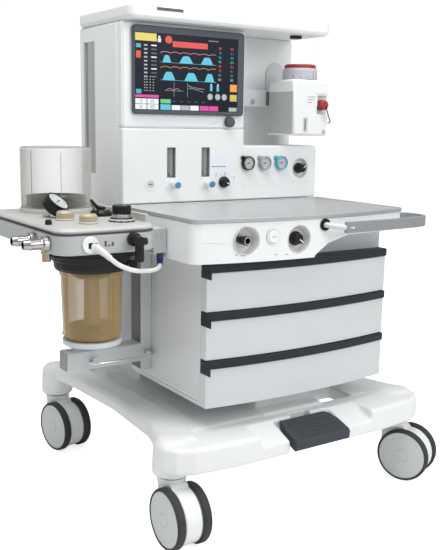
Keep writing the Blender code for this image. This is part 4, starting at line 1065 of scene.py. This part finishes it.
GAUGE_AT = Vector((-0.543, -0.052, 0.809))
tilt = spun(GAUGE_AT, 39) @ Matrix.Rotation(radians(-50), 4, "X")
airway = Piece()
airway.put(lathe([(0, -0.028), (0.0235, -0.028), (0.03, -0.0235), (0.0318, -0.006), (0.0318, 0.0),
    (0, 0.0)], "-Y", (0, 0, 0), soft=0.003, segments=72), "black", tilt)
gauge_face(airway, 0.0318, tilt, -100, "black", 0.0052, "line")
airway.put(disc(0.011, PLATE_TOP + 0.0003, 0.803, "Z", (-0.545, -0.044, 0), soft=0.001, segments=32),
    "black")
airway.put(lathe([(0, 0), (0.015, 0), (0.015, 0.008), (0, 0.008)], "Z",
    (-0.545, -0.044, PLATE_TOP + 0.0003), soft=0.001, segments=6), "chrome")
airway.make("airway_pressure_gauge", "machine", "airway_gauge")

for n, (x, y) in enumerate(((-0.549, -0.112), (-0.527, -0.2)), 1):
    valve = Piece()
    valve.put(lathe([(0, 0.7708), (0.023, 0.7708), (0.023, 0.7728), (0.0212, 0.7762), (0, 0.7762)], "Z",
        (x, y, 0), soft=0.001), "plate")
    valve.put(lathe([(0, 0.7755), (0.0214, 0.7755), (0.0214, 0.7885), (0.0175, 0.7935), (0, 0.7945)], "Z",
        (x, y, 0), soft=0.003, segments=120, ribs=30, rib=0.0006), "tan")
    valve.make("valve_cap_%d" % n, "machine", "valve_dome_%d" % n)

APL = Vector((-0.439, -0.2, PLATE_TOP + 0.0003))
collar = Piece()
collar.put(lathe([(0.019, 0.0002), (0.0325, 0.0002), (0.0325, 0.003), (0.0262, 0.01), (0.019, 0.01)], "Z",
    APL, soft=0.001, segments=144, ring=True, ribs=12, rib=0.0006), "black")
collar.put(band(0.019, 0.0229, 0.0098, 0.0182, "Z", APL, soft=0.0008), "satin")
LEVER = Vector((-0.433, -0.07, PLATE_TOP + 0.0003))
collar.put(lathe([(0.015, 0.0002), (0.0284, 0.0002), (0.0284, 0.009), (0.0224, 0.0163), (0.015, 0.0163)],
    "Z", LEVER, soft=0.0016, ring=True), "black")
collar.make("valve_collars", "machine")
apl = Piece()
apl.put(lathe([(0, 0.0184), (0.0228, 0.0184), (0.023, 0.037), (0.0205, 0.0403), (0, 0.0398)], "Z", APL,
    soft=0.0016, segments=144, ribs=24, rib=0.0012), "black")
apl.put(block(-0.0008, 0.0008, -0.02, -0.008, 0.0396, 0.0405), "shell", Matrix.Translation(APL))
apl.make("apl_control", "apl", "apl_knob")
lever = Piece()
lever.put(lathe([(0, 0.0164), (0.012, 0.0164), (0.012, 0.0225), (0.0095, 0.024), (0, 0.024)], "Z", LEVER,
    soft=0.001), "black")
arm = curve_through([(0, 0.0, 0.0205), (0, 0.018, 0.0245), (0, 0.036, 0.0345), (0, 0.0515, 0.0445)], 0.004)
lever.put(pipe(arm, [0.0048, 0.0046] + [0.0042] * (len(arm) - 4) + [0.0044, 0.003], 20), "black",
    spun(LEVER, 126))
lever.make("bag_vent_lever", "bag_vent", "bag_lever")

for n, (y, z, reach) in enumerate(((-0.145, 0.731, 0.056), (-0.23, 0.733, 0.06)), 1):
    root = (BLOCK_LEFT, y, z)
    port = Piece()
    port.put(lathe([(0, 0), (0.018, 0), (0.018, 0.014), (0.013, 0.015), (0.013, 0.017), (0.0125, 0.018),
        (0.0125, 0.04), (0.0131, 0.041), (0.0131, 0.044), (0.0122, 0.045), (0.011, reach - 0.0006),
        (0.0104, reach), (0.008, reach), (0.008, 0.02), (0, 0.02)], "-X", root, soft=0.0005, segments=64),
        "steel")
    port.put(band(0.015, 0.0184, 0.002, 0.012, "-X", root, soft=0.0006, segments=144, ribs=36, rib=0.0007),
        "steel")
    port.put(disc(0.0079, 0.019, 0.0215, "-X", root, segments=32), "black")
    port.make("patient_fitting_%d" % n, "machine", "patient_port_%d" % n)

block_bits = Piece()
block_bits.put(disc(0.0104, 0.6838, 0.7092, "Z", (-0.628, -0.185, 0), soft=0.001, segments=40), "brass")
block_bits.put(lathe([(0, 0), (0.0135, 0), (0.0135, 0.006), (0, 0.006)], "Z", (-0.628, -0.185, 0.703),
    soft=0.001, segments=6), "brass")
for x, y in ((-0.372, -0.2575), (-0.361, -0.2575)):
    block_bits.put(disc(0.0026, -0.001, 0.0012, "-Y", (x, y, 0.74), segments=20), "satin")
for k, tall in enumerate((0.013, 0.004, 0.0095)):
    block_bits.put(block(-0.529 + 0.009 * k, -0.5232 + 0.009 * k, -0.2925, -0.2915, 0.727, 0.727 + tall),
        "ink")
block_bits.put(plaque(-0.57, -0.53, -0.03, -0.008, 0.006, PLATE_TOP, PLATE_TOP + 0.003, "Z", soft=0.001),
    "satin")
block_bits.put(lathe([(0, 0), (0.0075, 0), (0.0085, 0.006), (0.006, 0.012), (0, 0.013)], "Z",
    (-0.62, -0.1825, PLATE_TOP - 0.0005), soft=0.001, segments=32), "black")
block_bits.make("block_fittings", "machine")

at = behind("oxygen_sensor")
sensor = Piece()
sensor.put(lathe([(0, 0), (0.0196, 0), (0.0196, 0.004), (0.018, 0.0058), (0.012, 0.005), (0, 0.005)], "-Y",
    at, soft=0.001, segments=72), "shell")
sensor.put(block(at.x - 0.006, at.x + 0.016, at.y - 0.0056, at.y - 0.004, at.z - 0.008, at.z + 0.005,
    0.0004), "black")
sensor.put(lathe([(0, 0.004), (0.008, 0.004), (0.008, 0.0085), (0, 0.0085)], "-Y",
    at + Vector((0.008, 0, -0.004)), soft=0.001, segments=32), "cord")
sensor.make("oxygen_cell", "machine", "oxygen_sensor")

elbow = Piece()
ex, ez = -0.456, 0.74
elbow.put(lathe([(0, 0.0004), (0.0165, 0.0004), (0.0165, 0.014), (0.0125, 0.016), (0, 0.016)], "-Y",
    (ex, -0.292, ez), soft=0.001, segments=96, ribs=16, rib=0.0012), "black")
elbow.put(lathe([(0, 0.015), (0.0112, 0.015), (0.0112, 0.033), (0.0104, 0.044), (0, 0.044)], "-Y",
    (ex, -0.292, ez), soft=0.002), "black")
elbow.put(lathe([(0, 0.6904), (0.0098, 0.6904), (0.0108, 0.696), (0.0108, 0.73), (0.009, 0.744),
    (0, 0.748)], "Z", (ex, -0.325, 0), soft=0.002), "black")
elbow.put(band(0.01, 0.0118, 0.698, 0.701, "Z", (ex, -0.325, 0), soft=0.0006), "black")
elbow.put(disc(0.0088, 0.006, 0.0185, "X", (ex, -0.325, 0.738), soft=0.0012, segments=32), "black")
elbow.make("drain_tee", "machine", "drain_elbow")

# ---- absorber -------------------------------------------------------------------
CAN = Vector((-0.498, -0.15, 0.0))
lock = Piece()
lock.put(lathe([(0, 0.7087), (0.1148, 0.7087), (0.1148, 0.69), (0.1, 0.688), (0.0985, 0.677),
    (0.0925, 0.675), (0.0915, 0.66), (0.088, 0.6525), (0, 0.6525)], "Z", CAN, soft=0.002, segments=144,
    ribs=18, rib=0.0009), "black")
lock.put(slab(fillet([(-0.424, -0.205), (-0.406, -0.218), (-0.401, -0.211), (-0.416, -0.196)], 0.003),
    0.656, 0.674, "Z", soft=0.0015), "black")
lock.make("lock_collar", "lock", "lock_ring")

canister = Piece()
canister.put(lathe([(0.0715, 0.65), (0.079, 0.65), (0.079, 0.6405), (0.0758, 0.6365), (0.0722, 0.49),
    (0.064, 0.4776), (0, 0.4776), (0, 0.4805), (0.0625, 0.4805), (0.069, 0.4915), (0.0722, 0.6365),
    (0.0715, 0.65)], "Z", CAN, segments=144, ribs=18, rib=0.0011), "amber")
canister.make("canister_shell", "absorber", "canister")
filling = Piece()
filling.put(lathe([(0, 0.4815), (0.062, 0.4815), (0.0675, 0.496), (0.066, 0.508), (0, 0.511)], "Z", CAN,
    soft=0.001, segments=96), "dark_side")
filling.put(lathe([(0, 0.6495), (0.056, 0.6495), (0.052, 0.64), (0.036, 0.629), (0, 0.624)], "Z", CAN,
    soft=0.002, segments=96), "ink")
filling.put(lathe([(0, 0.504), (0.021, 0.504), (0.018, 0.626), (0, 0.626)], "Z", CAN, soft=0.001,
    segments=48), "straw")
for angle in (32, 110, 240):
    filling.put(block(-0.001, 0.001, -0.0655, -0.0585, 0.496, 0.633, 0.0006), "rust", spun(CAN, angle))
filling.make("absorbent_filling", "absorber")
dress("canister_tray", "pale", 0.0012, name="absorber_tray")
pins = Piece()
for x, r, look in ((-0.52, 0.0043, "chrome"), (-0.47, 0.0103, "black")):
    pins.put(disc(r, 0.424, 0.464, "Z", (x, -0.062, 0), soft=0.0006, segments=32), look)
pins.make("lift_pins", "absorber")
dress("absorber_bracket", "pale", 0.0014)
# painted shade: thin sheets on the beam's left end and on the left side of the bracket's column, darker because
# those faces are turned from the light
shade_sheets = Piece()
# painted shade on the left end face of the beam
shade_sheets.put(plaque(-0.085, -0.039, 0.374, 0.421, 0.003, -0.5411, -0.54, "X", soft=0.0004), "ring_grey_and_end_shade")
# painted shade on the left side of the bracket's column
shade_sheets.put(block(-0.3274, -0.3262, -0.085, -0.032, 0.35, 0.705), "dark_side")
shade_sheets.make("beam_end_and_column_shade_sheets", "machine")

BAIL = (-0.392, -0.0925, 0.397)
half = [(-0.4635, -0.0925, 0.397), (-0.4775, -0.0925, 0.397), (-0.4835, -0.097, 0.3968),
    (-0.483, -0.106, 0.396), (-0.4745, -0.1165, 0.395), (-0.46, -0.12, 0.3945), (-0.42, -0.12, 0.3942)]
bail = half + [(2 * BAIL[0] - x, y, z) for x, y, z in reversed(half)]
one("lift_bail_wire", pipe(curve_through(bail, 0.004), 0.0032, 20), "chrome", "lift_bail", "lift_handle")


# ---- studio ---------------------------------------------------------------------
def area_light(name, at, aim, size, power):
    """A round soft light that looks at a point."""
    data = bpy.data.lights.new(name, "AREA")
    data.shape = "DISK"
    data.size = size
    data.energy = power
    obj = placed(name, data)
    obj.location = at
    obj.rotation_mode = "QUATERNION"
    obj.rotation_quaternion = (Vector(aim) - Vector(at)).to_track_quat("-Z", "Y")


# strengths of the soft sky, of the backdrop and of the floor; only the camera sees the last two
SKY, BACKDROP, FLOOR_GLOW = 0.47, 1.05, 0.75


def studio():
    """A white floor and backdrop for the camera only, an even soft sky and two lights."""
    mesh = bpy.data.meshes.new("floor")
    bm = bmesh.new()
    bmesh.ops.create_circle(bm, cap_ends=True, segments=96, radius=9.0)
    bm.to_mesh(mesh)
    bm.free()
    floor = placed("floor", mesh)
    white = surface("floor_white", (0.93, 0.93, 0.93), 0.8, tint=0.004, bump=0.01)
    shader = white.node_tree.nodes["Principled BSDF"]
    shader.inputs["Emission Color"].default_value = (1.0, 1.0, 1.0, 1.0)
    seen = white.node_tree.nodes.new("ShaderNodeLightPath")
    level = white.node_tree.nodes.new("ShaderNodeMath")
    level.operation = "MULTIPLY"
    level.inputs[1].default_value = FLOOR_GLOW
    white.node_tree.links.new(seen.outputs["Is Camera Ray"], level.inputs[0])
    white.node_tree.links.new(level.outputs["Value"], shader.inputs["Emission Strength"])
    mesh.materials.append(white)
    floor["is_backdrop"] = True
    world = bpy.data.worlds.new("studio")
    bpy.context.scene.world = world
    world.use_nodes = True
    tree = world.node_tree
    back = tree.nodes["Background"]
    back.inputs["Color"].default_value = (1.0, 1.0, 1.0, 1.0)
    back.inputs["Strength"].default_value = BACKDROP
    soft = tree.nodes.new("ShaderNodeBackground")
    soft.inputs["Color"].default_value = (0.97, 0.985, 1.0, 1.0)
    soft.inputs["Strength"].default_value = SKY
    mix = tree.nodes.new("ShaderNodeMixShader")
    path = tree.nodes.new("ShaderNodeLightPath")
    tree.links.new(path.outputs["Is Camera Ray"], mix.inputs["Fac"])
    tree.links.new(soft.outputs["Background"], mix.inputs[1])
    tree.links.new(back.outputs["Background"], mix.inputs[2])
    tree.links.new(mix.outputs["Shader"], tree.nodes["World Output"].inputs["Surface"])
    area_light("key", (1.4, -3.2, 2.6), (0.0, 0.0, 0.7), 2.4, 58)
    area_light("top", (-0.7, -0.5, 3.6), (0.0, 0.0, 0.0), 2.6, 92)
    bpy.context.scene.view_settings.view_transform = "Standard"
    bpy.context.scene.view_settings.look = "None"


studio()

low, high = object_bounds()
